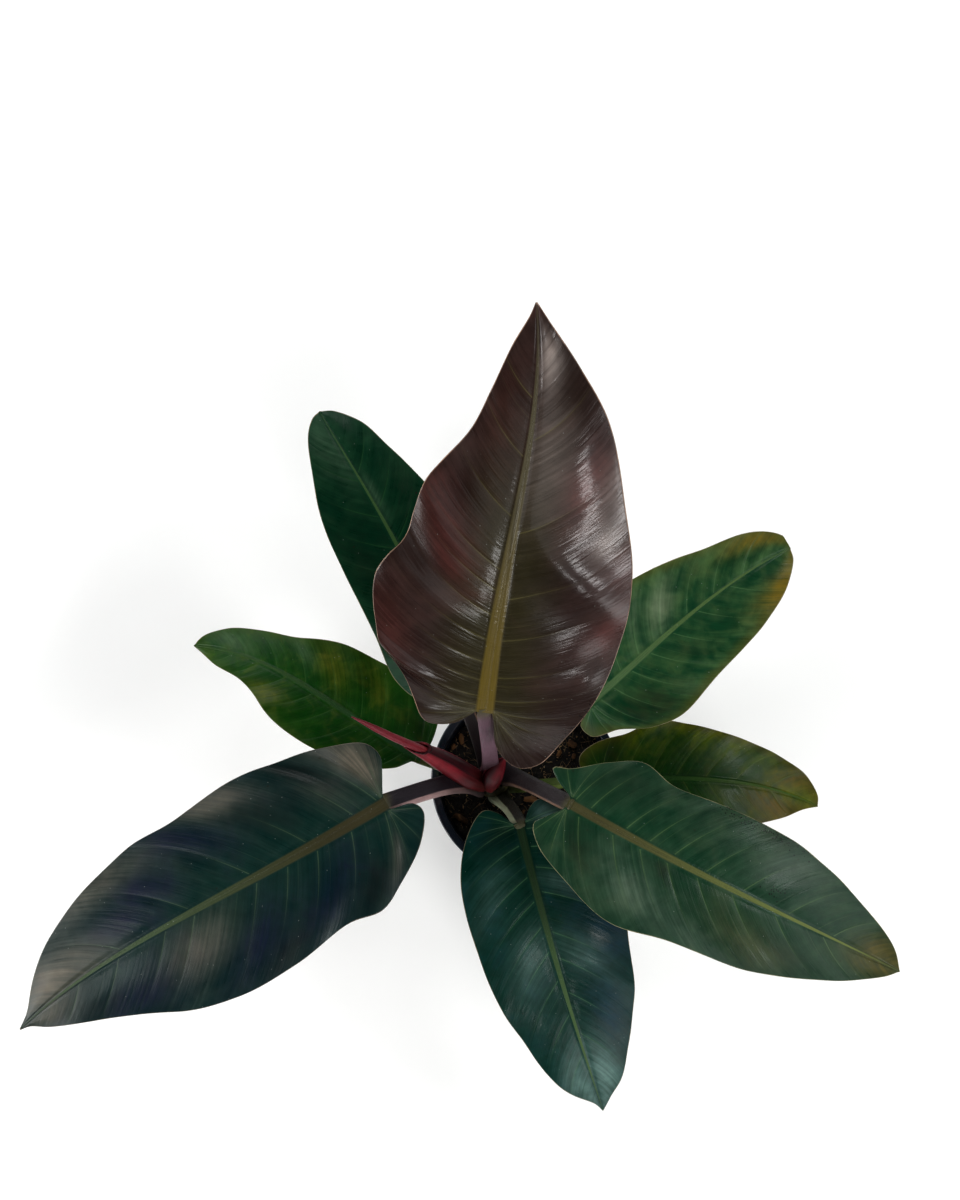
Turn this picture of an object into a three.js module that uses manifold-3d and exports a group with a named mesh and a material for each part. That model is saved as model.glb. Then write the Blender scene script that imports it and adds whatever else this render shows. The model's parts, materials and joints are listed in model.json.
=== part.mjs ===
// Potted imperial red philodendron.
//
// A black nursery pot full of potting mix carries a short thick stem. Eight leaves grow round its crown,
// each a stalk that ends in a blade. A rolled new leaf stands out of its red sheath, and a short sheath
// beside it is still shut.
// Millimetres, +Z up, +Y towards the back. The origin is the middle of the pot's flat base.

import * as THREE from "three";
import { mergeVertices } from "three/addons/utils/BufferGeometryUtils.js";
import Module from "manifold-3d";

const wasm = await Module();
wasm.setup();

const vec = (x, y, z) => new THREE.Vector3(x, y, z);

// Driving dimensions

const GAP = 0.3; // between two pieces that touch
const CUT_CLEARANCE = 0.5; // how far a neighbour is grown before it is cut out of a piece

const POT = {
  height: 126,
  baseRadius: 50,
  baseChamfer: 2,
  neckRadius: 65, // outside, just under the rim
  rimRadius: 70,
  rimDepth: 12,
  rimRound: 1.5,
  wall: 1.5,
  floor: 2,
  drainHoles: 8,
  drainHoleRadius: 4,
  drainCircle: 38,
  segments: 48,
};

const MIX = {
  surface: 108, // 18 mm below the rim
};

// The crown is where the youngest stalks meet. Everything that grows is measured from it.
const CROWN = vec(-24, -2, 150);

const STEM = {
  radius: 11,
  topRadius: 7,
  shoulder: 12, // from the full radius up to the top
  rootDepth: 26, // below the surface of the mix
  rootRadius: 7,
  segments: 20,
};

const BLADE = {
  thickness: 0.9,
  tipWidth: 1,
  curlReach: 60, // from the midrib to where a half has turned down by the leaf's curl
  rows: 18, // steps from the stalk's notch to the tip
  lobeShare: 0.28, // of the margin, whose veins all start beside the stalk
  lobeSoftness: 0.04,
  ribTaper: 0.9,
  ribShare: 0.8, // of the half blade's width, at most
  ribTipHalfWidth: 0.6,
  ribTipDepth: 0.5,
  keelShare: 0.8, // of the stalk's depth
};

// The stations across each half of a blade, from the middle of the midrib to the margin: out is the share
// of the way from the midrib's edge to the margin, level is the share of the midrib's half width, and keel
// is how much of the keel's depth hangs below.
const STATIONS = [
  { out: 0, level: 0, keel: 1 },
  { out: 0, level: 0.6, keel: 0.75 },
  { out: 0, level: 1, keel: 0 },
  { out: 1 / 3, level: 1, keel: 0 },
  { out: 2 / 3, level: 1, keel: 0 },
  { out: 1, level: 1, keel: 0 },
];

const STALK = {
  steps: 10,
  sides: 12,
  depthShare: 0.8, // of the width
  flatTop: 0.6, // the upper side is flatter than the lower one
  footSpread: 0.65, // how much wider the clasping foot is than the stalk
  overlap: 3, // runs this far past the blade's root before it is cut to fit
};

// One entry for each leaf, youngest first. Points are from the crown. The blade's chord runs from root to
// tip, its midrib arches up and bows to the left of that chord, and fold is how far the halves rise beside
// the midrib. Margins are [along the midrib, away from it], from the notch at the stalk to the tip.
const LEAVES = [
  {
    name: "leaf_1", // the tall maroon one at the back
    foot: vec(-2, 7, -8),
    root: vec(-7, 34, 140),
    tip: vec(19, 228, 280),
    leave: { heading: 100, rise: 84 },
    arrive: { heading: 100, rise: 64 },
    stalkWidth: 10,
    ribHalfWidth: 5.5,
    arch: 14,
    bow: -6,
    bowPeak: 0.75,
    fold: 10,
    curl: 15,
    left: [[0, 5], [-10, 19], [-10, 35], [7, 44], [30, 62], [58, 71], [88, 69], [119, 57], [147, 45],
      [173, 32], [197, 23], [221, 13], [236, 3]],
    right: [[0, 5], [-28, 11], [-40, 25], [-36, 38], [-10, 51], [22, 64], [62, 72], [108, 69],
      [148, 56], [184, 41], [210, 22], [230, 7]],
    bladeColour: 0x4a3a36,
    stalkColour: 0x6b505c,
  },
  {
    name: "leaf_2", // the long dark one at the front left
    foot: vec(-9.5, -1, -11),
    root: vec(-70, -18, 78),
    tip: vec(-307, -161, 45),
    leave: { heading: 176, rise: 62 },
    arrive: { heading: 200, rise: 38 },
    stalkWidth: 13,
    ribHalfWidth: 5,
    arch: 18,
    bow: -6.5,
    bowPeak: 0.7,
    fold: 10,
    curl: 20,
    left: [[0, 5], [-14, 9], [-17, 17], [-6, 33], [17, 49], [33, 57], [54, 54], [95, 60], [136, 60],
      [168, 53], [200, 39], [233, 25], [260, 12], [272, 3]],
    right: [[0, 5], [-5, 15], [-11, 28], [-7, 40], [15, 51], [45, 58], [84, 63], [124, 57], [160, 57],
      [199, 47], [227, 35], [252, 19], [268, 5]],
    bladeColour: 0x28343a,
    stalkColour: 0x231b26,
  },
  {
    name: "leaf_3", // the green one at the front right, over its neighbours
    foot: vec(8, 5, -10),
    root: vec(46, -18, 86),
    tip: vec(263, -125, 48),
    leave: { heading: -24, rise: 72 },
    arrive: { heading: -30, rise: 50 },
    stalkWidth: 11,
    ribHalfWidth: 4.5,
    arch: 18,
    bow: -3,
    bowPeak: 0.4,
    fold: 8,
    curl: 18,
    left: [[0, 4], [-13, 10], [-18, 15], [-8, 20], [10, 35], [30, 46], [55, 42], [95, 46], [142, 45],
      [175, 38], [208, 25], [235, 12]],
    right: [[0, 4], [-6, 13], [-12, 22], [-3, 33], [22, 44], [54, 53], [92, 46], [143, 41], [180, 31],
      [214, 18], [236, 7]],
    bladeColour: 0x2b4a3c,
    stalkColour: 0x2e282c,
  },
  {
    name: "leaf_4", // the one that hangs to the front
    foot: vec(4, -9.5, -22),
    root: vec(16, -30, 54),
    tip: vec(75.5, -225, -22),
    leave: { heading: 295, rise: 74 },
    arrive: { heading: 290, rise: 58 },
    stalkWidth: 10,
    ribHalfWidth: 4,
    arch: 20,
    bow: -3,
    bowPeak: 0.45,
    fold: 10,
    curl: 18,
    left: [[0, 4], [-8, 10], [-11, 18], [2, 33], [32, 48], [69, 54], [97, 50], [126, 46], [162, 34],
      [196, 18], [208, 8]],
    right: [[0, 4], [-9, 13], [-12, 22], [1, 36], [27, 47], [74, 48], [110, 44], [141, 36], [171, 28],
      [195, 16], [209, 4]],
    bladeColour: 0x17403a,
    stalkColour: 0x24241c,
  },
  {
    name: "leaf_5", // behind the tall leaf, to the left
    foot: vec(-3.5, 8.5, -27),
    root: vec(-31, 74, 62),
    tip: vec(-117, 239, 105),
    leave: { heading: 108, rise: 60 },
    arrive: { heading: 116, rise: 44 },
    stalkWidth: 9,
    ribHalfWidth: 3.5,
    arch: 14,
    bow: -5,
    bowPeak: 0.4,
    fold: 10,
    curl: 15,
    left: [[0, 4], [-14, 11], [-16, 24], [2, 37], [41, 39], [93, 39], [128, 35], [159, 24], [181, 14],
      [189, 6]],
    right: [[0, 4], [-8, 5], [-7, 14], [8, 25], [39, 37], [78, 42], [113, 37], [147, 28], [172, 20],
      [187, 8]],
    bladeColour: 0x143c2c,
    stalkColour: 0x2a2a26,
  },
  {
    name: "leaf_6", // behind the tall leaf, to the right
    foot: vec(7, 6.5, -31),
    root: vec(63, 48, 55),
    tip: vec(197, 149, 88),
    leave: { heading: 36, rise: 60 },
    arrive: { heading: 38, rise: 40 },
    stalkWidth: 9,
    ribHalfWidth: 3.5,
    arch: 12,
    bow: 5.5,
    bowPeak: 0.62,
    fold: 12,
    curl: 15,
    left: [[0, 4], [-5, 9], [2, 22], [25, 37], [56, 45], [89, 40], [125, 29], [151, 23], [168, 13],
      [173, 5]],
    right: [[0, 4], [-12, 8], [-10, 19], [6, 26], [23, 39], [43, 46], [78, 42], [125, 35], [155, 22],
      [169, 8]],
    bladeColour: 0x254a2a,
    stalkColour: 0x2c3022,
  },
  {
    name: "leaf_7", // low on the left, under the new leaf
    foot: vec(-9, 3, -35),
    root: vec(-51, 14, 22),
    tip: vec(-220, 98, 0),
    leave: { heading: 166, rise: 66 },
    arrive: { heading: 162, rise: 34 },
    stalkWidth: 8,
    ribHalfWidth: 3.2,
    arch: 14,
    bow: -10,
    bowPeak: 0.65,
    fold: 10,
    curl: 15,
    left: [[0, 4], [5, 5], [12, 14], [32, 26], [72, 34], [103, 32], [126, 23], [143, 17], [168, 12],
      [186, 3]],
    right: [[0, 4], [-1, 16], [5, 35], [25, 45], [55, 43], [90, 39], [120, 27], [148, 21], [168, 16],
      [183, 9], [188, 4]],
    bladeColour: 0x264a1c,
    stalkColour: 0x5a6e2c,
  },
  {
    name: "leaf_8", // low on the right, the oldest and yellowest
    foot: vec(9.5, -1, -37),
    root: vec(75, 2, 15),
    tip: vec(234, -18, -10),
    leave: { heading: -14, rise: 52 },
    arrive: { heading: 8, rise: 26 },
    stalkWidth: 8,
    ribHalfWidth: 3,
    arch: 16,
    bow: 8,
    bowPeak: 0.6,
    fold: 10,
    curl: 15,
    left: [[0, 4], [-12, 3], [-15, 12], [-4, 24], [18, 31], [37, 40], [60, 38], [90, 32], [125, 24],
      [148, 16], [160, 7]],
    right: [[0, 4], [-4, 10], [6, 20], [28, 29], [60, 34], [96, 31], [130, 20], [154, 5]],
    bladeColour: 0x46541c,
    stalkColour: 0x55602c,
  },
];

// The rolled new leaf and the sheath that it stands in share one straight line out of the crown.
const NEW_LEAF = {
  route: [vec(-38, 13, 44), vec(-50, 18, 60), vec(-66, 24, 78), vec(-91, 35, 102)],
  widths: [5.5, 5.5, 5, 4, 1],
  depthShare: 0.95,
};
const NEW_SHEATH = {
  route: [vec(-7, -2, -3), vec(-17, 2, 15), vec(-34, 11, 38), vec(-50, 18, 60)],
  widths: [11, 14, 13.5, 12, 8.5],
  depthShare: 0.72,
};
const BUD_SHEATH = {
  route: [vec(-4, -6, -3), vec(-1, 1, 15), vec(7, 9, 35)],
  widths: [8, 13, 13, 9, 2],
  depthShare: 0.6,
};
const ROD_SIDES = 12;
const ROD_STEPS = 10;

// Chips of bark on the mix: [x, y, length, width, turn in degrees].
const CHIP_THICKNESS = 2.6;
const CHIP_CORNER = 0.3; // share of the length that its slanted corners take
const CHIPS = [
  [-48, 31, 9, 4, 96],
  [-54, 25, 5.5, 3, 70],
  [-48, -28, 13, 4.5, -31],
  [36, 27, 8, 5, -30],
  [37, 18, 5, 3, 75],
  [26, 20, 6, 3, 60],
  [4, -14, 11, 4.5, 0],
  [-2, -24, 6, 2.5, 50],
  [30, -36, 12, 5, 20],
  [-18, -45, 9, 4, -60],
  [8, 44, 10, 4, 140],
  [46, -10, 7, 4, 100],
];

// Solids

// The geometry with its doubled vertices joined, and each of them moved to place(vertex).
function bend(geometry, place) {
  geometry.deleteAttribute("normal");
  geometry.deleteAttribute("uv");
  geometry.clearGroups();
  const bent = mergeVertices(geometry, 1e-5);
  const position = bent.attributes.position;
  const vertex = new THREE.Vector3();
  for (let i = 0; i < position.count; i++) {
    const moved = place(vertex.fromBufferAttribute(position, i));
    position.setXYZ(i, moved.x, moved.y, moved.z);
  }
  bent.computeVertexNormals();
  return bent;
}

function toSolid(geometry) {
  return new wasm.Manifold(
    new wasm.Mesh({
      numProp: 3,
      vertProperties: Float32Array.from(geometry.attributes.position.array),
      triVerts: Uint32Array.from(geometry.index.array),
    }),
  );
}

function toGeometry(solid) {
  const mesh = solid.getMesh();
  const geometry = new THREE.BufferGeometry();
  geometry.setAttribute("position", new THREE.BufferAttribute(Float32Array.from(mesh.vertProperties), 3));
  geometry.setIndex(new THREE.BufferAttribute(Uint32Array.from(mesh.triVerts), 1));
  geometry.computeVertexNormals();
  return geometry;
}

// The geometry made fatter all round.
function grown(geometry, by) {
  const fat = geometry.clone();
  fat.computeVertexNormals();
  const position = fat.attributes.position;
  const normal = fat.attributes.normal;
  for (let i = 0; i < position.count; i++)
    position.setXYZ(
      i,
      position.getX(i) + normal.getX(i) * by,
      position.getY(i) + normal.getY(i) * by,
      position.getZ(i) + normal.getZ(i) * by,
    );
  return fat;
}

// What is left of a geometry once the cutters are taken out, as one body: the largest, if it falls apart.
function cut(geometry, cutters) {
  let solid = toSolid(geometry);
  for (const cutter of cutters) solid = solid.subtract(toSolid(cutter));
  const largest = solid.decompose().sort((a, b) => b.volume() - a.volume())[0];
  return toGeometry(largest);
}

function clearOf(geometry, neighbours) {
  return cut(
    geometry,
    neighbours.map((neighbour) => grown(neighbour, CUT_CLEARANCE)),
  );
}

// A solid of revolution about Z, from [radius, height] pairs that run up the outside and back to the axis.
function turned(profile, segments) {
  const lathe = new THREE.LatheGeometry(
    profile.map(([radius, height]) => new THREE.Vector2(radius, height)),
    segments,
  );
  lathe.rotateX(Math.PI / 2);
  return bend(lathe, (vertex) => vertex);
}

function direction({ heading, rise }) {
  const turn = THREE.MathUtils.degToRad(heading);
  const lift = THREE.MathUtils.degToRad(rise);
  return vec(Math.cos(turn) * Math.cos(lift), Math.sin(turn) * Math.cos(lift), Math.sin(lift));
}

// A rod along a path, whose width and depth change on the way and whose width lies level.
function rod(path, widthAt, depthAt, flatTop, steps, sides) {
  const run = path.getPoint(1).sub(path.getPoint(0));
  const level = vec(-run.y, run.x, 0).normalize();
  return bend(new THREE.CylinderGeometry(1, 1, 1, sides, steps), ({ x, y, z }) => {
    const t = y + 0.5;
    const tangent = path.getTangent(t);
    const across = level.clone().addScaledVector(tangent, -level.dot(tangent)).normalize();
    const up = tangent.clone().cross(across);
    const height = (-z * depthAt(t)) / 2;
    return path
      .getPoint(t)
      .addScaledVector(across, (x * widthAt(t)) / 2)
      .addScaledVector(up, z < 0 ? height * flatTop : height);
  });
}

// A value read off evenly spaced ones.
function between(values, t) {
  const place = THREE.MathUtils.clamp(t, 0, 1) * (values.length - 1);
  const step = Math.min(Math.floor(place), values.length - 2);
  return THREE.MathUtils.lerp(values[step], values[step + 1], place - step);
}

function taperedRod({ route, widths, depthShare }) {
  const path = new THREE.CatmullRomCurve3(route);
  const widthAt = (t) => between(widths, t);
  return rod(path, widthAt, (t) => widthAt(t) * depthShare, 1, ROD_STEPS, ROD_SIDES);
}

// Pot and mix

function potInsideRadius(height) {
  const neck = POT.height - POT.rimDepth;
  const share = THREE.MathUtils.clamp(height / neck, 0, 1);
  return THREE.MathUtils.lerp(POT.baseRadius, POT.neckRadius, share) - POT.wall;
}

function potGeometry() {
  const neck = POT.height - POT.rimDepth;
  const { baseRadius, baseChamfer, neckRadius, rimRadius, rimRound, wall, floor, height } = POT;
  const inside = neckRadius - wall;
  const shell = turned(
    [
      [0, 0],
      [baseRadius - baseChamfer, 0],
      [baseRadius, baseChamfer],
      [neckRadius, neck],
      [rimRadius - rimRound, neck],
      [rimRadius, neck + rimRound],
      [rimRadius, height - rimRound],
      [rimRadius - rimRound, height],
      [inside + rimRound, height],
      [inside, height - rimRound],
      [inside, neck],
      [potInsideRadius(floor), floor],
      [0, floor],
    ],
    POT.segments,
  );
  let pot = toSolid(shell);
  for (let i = 0; i < POT.drainHoles; i++) {
    const angle = ((i + 0.5) * 2 * Math.PI) / POT.drainHoles;
    const hole = new THREE.CylinderGeometry(POT.drainHoleRadius, POT.drainHoleRadius, 4 * floor, 16);
    hole.rotateX(Math.PI / 2);
    hole.translate(POT.drainCircle * Math.cos(angle), POT.drainCircle * Math.sin(angle), 0);
    pot = pot.subtract(toSolid(bend(hole, (vertex) => vertex)));
  }
  return toGeometry(pot);
}

function mixGeometry() {
  const bottom = POT.floor + GAP;
  return turned(
    [
      [0, bottom],
      [potInsideRadius(bottom) - GAP, bottom],
      [potInsideRadius(MIX.surface) - GAP, MIX.surface],
      [0, MIX.surface],
    ],
    POT.segments,
  );
}

function stemGeometry() {
  const bottom = MIX.surface - STEM.rootDepth - CROWN.z;
  return turned(
    [
      [0, bottom],
      [STEM.rootRadius, bottom],
      [STEM.radius, bottom + STEM.rootDepth],
      [STEM.radius, -STEM.shoulder],
      [STEM.topRadius, -STEM.shoulder / 3],
      [0, 0],
    ],
    STEM.segments,
  );
}

function chipGeometry(length, width) {
  const corner = length * CHIP_CORNER;
  const outline = new THREE.Shape([
    new THREE.Vector2(-length / 2, -width / 4),
    new THREE.Vector2(-length / 2 + corner, -width / 2),
    new THREE.Vector2(length / 2, -width / 3),
    new THREE.Vector2(length / 2 - corner / 2, width / 3),
    new THREE.Vector2(-length / 2 + corner / 2, width / 2),
  ]);
  return new THREE.ExtrudeGeometry(outline, { depth: CHIP_THICKNESS, bevelEnabled: false });
}

// Leaves

// Rises from 0 to 1 at the peak and falls back to 0 at the tip. Behind the stalk it runs straight on.
function bump(t, peak) {
  const rising = peak < 0.5 ? 1 : peak / (1 - peak);
  const falling = peak < 0.5 ? (1 - peak) / peak : 1;
  const top = peak ** rising * (1 - peak) ** falling;
  if (t < 0) return rising === 1 ? t / top : 0;
  return (t ** rising * (1 - t) ** falling) / top;
}

// How far along the midrib the vein starts that meets the margin at the given share of its length.
function veinFoot(share) {
  const soft = (x) => (x + Math.hypot(x, BLADE.lobeSoftness)) / 2;
  const first = soft(-BLADE.lobeShare);
  return (soft(share - BLADE.lobeShare) - first) / (soft(1 - BLADE.lobeShare) - first);
}

// The midrib's place and directions, in the blade's own frame, at a share of its length.
function midribFrame(leaf, length, t) {
  const midrib = (at) => vec(length * at, leaf.bow * bump(at, leaf.bowPeak), leaf.arch * bump(at, 0.5));
  const step = 1e-3;
  const tangent = midrib(Math.min(t + step, 1)).sub(midrib(t - step)).normalize();
  const across = vec(0, 0, 1).cross(tangent).normalize();
  return { place: midrib(t), tangent, across, up: tangent.clone().cross(across) };
}

// A point of the blade: along the midrib, to the left of it, and below its upper face. The chord is X.
function bladePoint(leaf, length, along, left, below) {
  const t = THREE.MathUtils.clamp(along / length, -1, 1);
  const { place, across, up } = midribFrame(leaf, length, t);
  const fold = THREE.MathUtils.degToRad(leaf.fold) * (1 - Math.max(t, 0));
  const curl = THREE.MathUtils.degToRad(leaf.curl) / BLADE.curlReach;
  const slope = fold - curl * Math.abs(left);
  const out = (Math.sin(fold) - Math.sin(slope)) / curl;
  const lift = (Math.cos(slope) - Math.cos(fold)) / curl;
  const tilt = left === 0 ? 0 : slope;
  return place
    .addScaledVector(across, Math.sign(left) * (out + below * Math.sin(tilt)))
    .addScaledVector(up, lift - below * Math.cos(tilt));
}

// A flat box bent into the blade: its long way runs from the notch at the stalk to the tip, its width from
// margin to margin, and the midrib stands out below as a keel.
function bladeGeometry(leaf) {
  const length = leaf.tip.distanceTo(leaf.root);
  const margin = (points, side) =>
    new THREE.CatmullRomCurve3(
      [...points, [length, BLADE.tipWidth / 2]].map(([along, away]) => vec(along, side * away, 0)),
      false,
      "centripetal",
    );
  const leftMargin = margin(leaf.left, 1);
  const rightMargin = margin(leaf.right, -1);
  const steps = STATIONS.length - 1;
  const box = new THREE.BoxGeometry(1, 2, 1, BLADE.rows, 2 * steps, 1);
  return bend(box, ({ x, y, z }) => {
    const share = x + 0.5;
    const station = Math.round(Math.abs(y) * steps);
    const foot = length * veinFoot(share);
    const end = (y < 0 ? rightMargin : leftMargin).getPointAt(share);
    const taper = Math.max(1 - foot / length, 0) ** BLADE.ribTaper;
    const rib = THREE.MathUtils.lerp(BLADE.ribTipHalfWidth, leaf.ribHalfWidth, taper);
    const ribEdge = vec(foot, Math.sign(end.y) * Math.min(rib, BLADE.ribShare * Math.abs(end.y)), 0);
    const { out, level, keel } = STATIONS[station];
    const point = ribEdge.clone().lerp(end, out);
    point.y *= level;
    const keelDepth = THREE.MathUtils.lerp(BLADE.ribTipDepth, BLADE.keelShare * stalkDepth(leaf), taper);
    const below = z > 0 ? 0 : BLADE.thickness + keel * keelDepth;
    return bladePoint(leaf, length, point.x, point.y, below);
  });
}

// The blade's own frame: X along the chord, Y to its left and Z out of its upper face.
function bladeMatrix(leaf) {
  const chord = leaf.tip.clone().sub(leaf.root).normalize();
  const left = vec(0, 0, 1).cross(chord).normalize();
  const up = chord.clone().cross(left);
  return new THREE.Matrix4().makeBasis(chord, left, up).setPosition(leaf.root);
}

// The room that a stalk leaves for its blade: all above the blade's underside and all before its keel.
function bladeRoom(leaf) {
  const reach = 60;
  const { tangent, across, up } = midribFrame(leaf, leaf.tip.distanceTo(leaf.root), 0);
  const frame = bladeMatrix(leaf).multiply(new THREE.Matrix4().makeBasis(tangent, across, up));
  const front = new THREE.BoxGeometry(reach, reach, reach);
  front.translate(reach / 2 - GAP, 0, 0);
  const above = new THREE.BoxGeometry(2 * reach, reach, reach);
  above.translate(0, 0, reach / 2 - BLADE.thickness - GAP);
  return [front, above].map((box) => bend(box.applyMatrix4(frame), (vertex) => vertex));
}

function stalkDepth(leaf) {
  return leaf.stalkWidth * STALK.depthShare;
}

function stalkGeometry(leaf) {
  const depth = stalkDepth(leaf);
  const arrival = direction(leaf.arrive);
  const sunk = BLADE.thickness + (depth * STALK.flatTop) / 2;
  const top = leaf.root.clone().addScaledVector(arrival, STALK.overlap).add(vec(0, 0, -sunk));
  const handle = leaf.foot.distanceTo(top) / 3;
  const path = new THREE.CubicBezierCurve3(
    leaf.foot,
    leaf.foot.clone().addScaledVector(direction(leaf.leave), handle),
    top.clone().addScaledVector(arrival, -handle),
    top,
  );
  const widthAt = (t) => leaf.stalkWidth * (1 + STALK.footSpread * (1 - t) ** 4);
  const stalk = rod(path, widthAt, () => depth, STALK.flatTop, STALK.steps, STALK.sides);
  return cut(stalk, bladeRoom(leaf));
}

// The object

function piece(name, geometry, colour, roughness) {
  const material = new THREE.MeshStandardMaterial({ color: colour, roughness, metalness: 0 });
  const mesh = new THREE.Mesh(geometry, material);
  mesh.name = name;
  return mesh;
}

function potAndMix(stem) {
  const group = new THREE.Group();
  group.add(piece("nursery_pot", potGeometry(), 0x14161a, 0.3));
  const stemInPot = stem.clone().translate(CROWN.x, CROWN.y, CROWN.z);
  group.add(piece("potting_mix", clearOf(mixGeometry(), [stemInPot]), 0x1c1816, 0.95));
  CHIPS.forEach(([x, y, length, width, turn], i) => {
    const name = `bark_chip_${String(i + 1).padStart(2, "0")}`;
    const chip = piece(name, chipGeometry(length, width), 0x6e4c2e, 0.85);
    chip.position.set(x, y, MIX.surface + GAP);
    chip.rotation.z = THREE.MathUtils.degToRad(turn);
    group.add(chip);
  });
  return group;
}

function plant(stem) {
  const group = new THREE.Group();
  group.position.copy(CROWN);
  group.add(piece("stem", stem, 0x3c3a26, 0.7));

  const newLeaf = taperedRod(NEW_LEAF);
  const budSheath = clearOf(taperedRod(BUD_SHEATH), [stem]);
  const newSheath = clearOf(taperedRod(NEW_SHEATH), [stem, newLeaf, budSheath]);
  group.add(piece("new_leaf_rolled", newLeaf, 0x7a2a34, 0.4));
  group.add(piece("new_leaf_sheath", newSheath, 0x7c2a34, 0.45));
  group.add(piece("bud_sheath", budSheath, 0x86303a, 0.45));

  // Each stalk gives way to the younger ones inside it.
  const inner = [stem, budSheath, newSheath];
  for (const leaf of LEAVES) {
    const blade = piece(`${leaf.name}_blade`, bladeGeometry(leaf), leaf.bladeColour, 0.35);
    blade.applyMatrix4(bladeMatrix(leaf));
    const stalk = clearOf(stalkGeometry(leaf), inner);
    group.add(blade, piece(`${leaf.name}_stalk`, stalk, leaf.stalkColour, 0.5));
    inner.push(stalk);
  }
  return group;
}

const stem = stemGeometry();
const philodendron = new THREE.Group();
philodendron.add(potAndMix(stem), plant(stem));

export default philodendron;
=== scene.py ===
"""Looks of the potted imperial red philodendron, built round its fixed frame.

Each leaf blade, stalk, sheath, chip of bark, the mix, the stem and the pot is modelled here in full detail,
in the place that the frame gives it. Sizes are in millimetres, from the middle of the pot's base, and what
grows is measured from the crown, where the youngest stalks meet. Meshes are in metres.
"""

import json
import logging
import math
from dataclasses import dataclass, field, replace
from enum import Enum
from typing import Callable, Sequence

import bmesh
import bpy
import numpy as np
from mathutils import Matrix, Vector

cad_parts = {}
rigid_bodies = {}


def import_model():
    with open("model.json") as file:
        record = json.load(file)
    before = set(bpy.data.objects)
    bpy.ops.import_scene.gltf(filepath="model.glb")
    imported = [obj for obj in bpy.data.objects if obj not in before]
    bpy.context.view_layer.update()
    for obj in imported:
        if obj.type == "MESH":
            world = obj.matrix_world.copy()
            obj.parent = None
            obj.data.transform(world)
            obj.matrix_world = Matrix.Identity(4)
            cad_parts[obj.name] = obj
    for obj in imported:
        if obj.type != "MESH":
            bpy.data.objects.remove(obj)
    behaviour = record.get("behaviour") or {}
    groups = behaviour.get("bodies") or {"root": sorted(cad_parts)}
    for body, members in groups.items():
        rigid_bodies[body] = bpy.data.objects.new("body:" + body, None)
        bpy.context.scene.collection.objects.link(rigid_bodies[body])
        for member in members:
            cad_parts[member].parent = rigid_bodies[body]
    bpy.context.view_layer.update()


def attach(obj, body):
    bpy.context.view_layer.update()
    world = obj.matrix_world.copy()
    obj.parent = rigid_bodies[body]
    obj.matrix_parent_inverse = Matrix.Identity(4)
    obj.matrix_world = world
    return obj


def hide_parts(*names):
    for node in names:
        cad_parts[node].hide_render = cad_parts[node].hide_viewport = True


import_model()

logging.basicConfig(level=logging.INFO, format="%(message)s")
log = logging.getLogger("philodendron")

Colour = tuple[float, float, float]
Point = tuple[float, float, float]
Array = np.ndarray
Socket = bpy.types.NodeSocket
Item = bpy.types.Object
Material = bpy.types.Material

MM = 0.001
BODY = "root"
CROWN = (-24.0, -2.0, 150.0)
MIX_SURFACE = 108.0
# A distance that stands for nowhere near a vein.
FAR = 9.0


class Side(Enum):
    """The half of a blade, by the sign of its distance to the left of the midrib."""

    LEFT = 1
    RIGHT = -1


class Tone(Enum):
    """What a patch on a blade does: a flush of colour, a pale painted sheen that stands in for reflections, a
    painted shade or black specks.
    """

    FLUSH = "flush"
    BLOOM = "painted_sheen"
    PAINTED_SHADE = "deep"
    PITTED = "pitted"


class Sheet(Enum):
    """How a rolled sheet ends: open in a lip, or drawn to a closed point."""

    LIPPED = "lipped"
    POINTED = "pointed"


def linear(value: int) -> float:
    """One channel of a screen colour, of 0 to 255, as linear light of 0 to 1."""
    share = value / 255
    return share / 12.92 if share <= 0.04045 else ((share + 0.055) / 1.055) ** 2.4


def rgb(red: int, green: int, blue: int) -> Colour:
    """A screen colour as the linear light that a shader takes."""
    return linear(red), linear(green), linear(blue)


def ease(value: Array, low: float, high: float) -> Array:
    """A smooth step that is 0 up to low and 1 from high."""
    share = np.clip((value - low) / (high - low), 0, 1)
    return share * share * (3 - 2 * share)


def between(values: Sequence[float], at: Array) -> Array:
    """Values spread evenly over 0 to 1, read off at the given places."""
    return np.interp(at, np.linspace(0, 1, len(values)), values)


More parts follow.
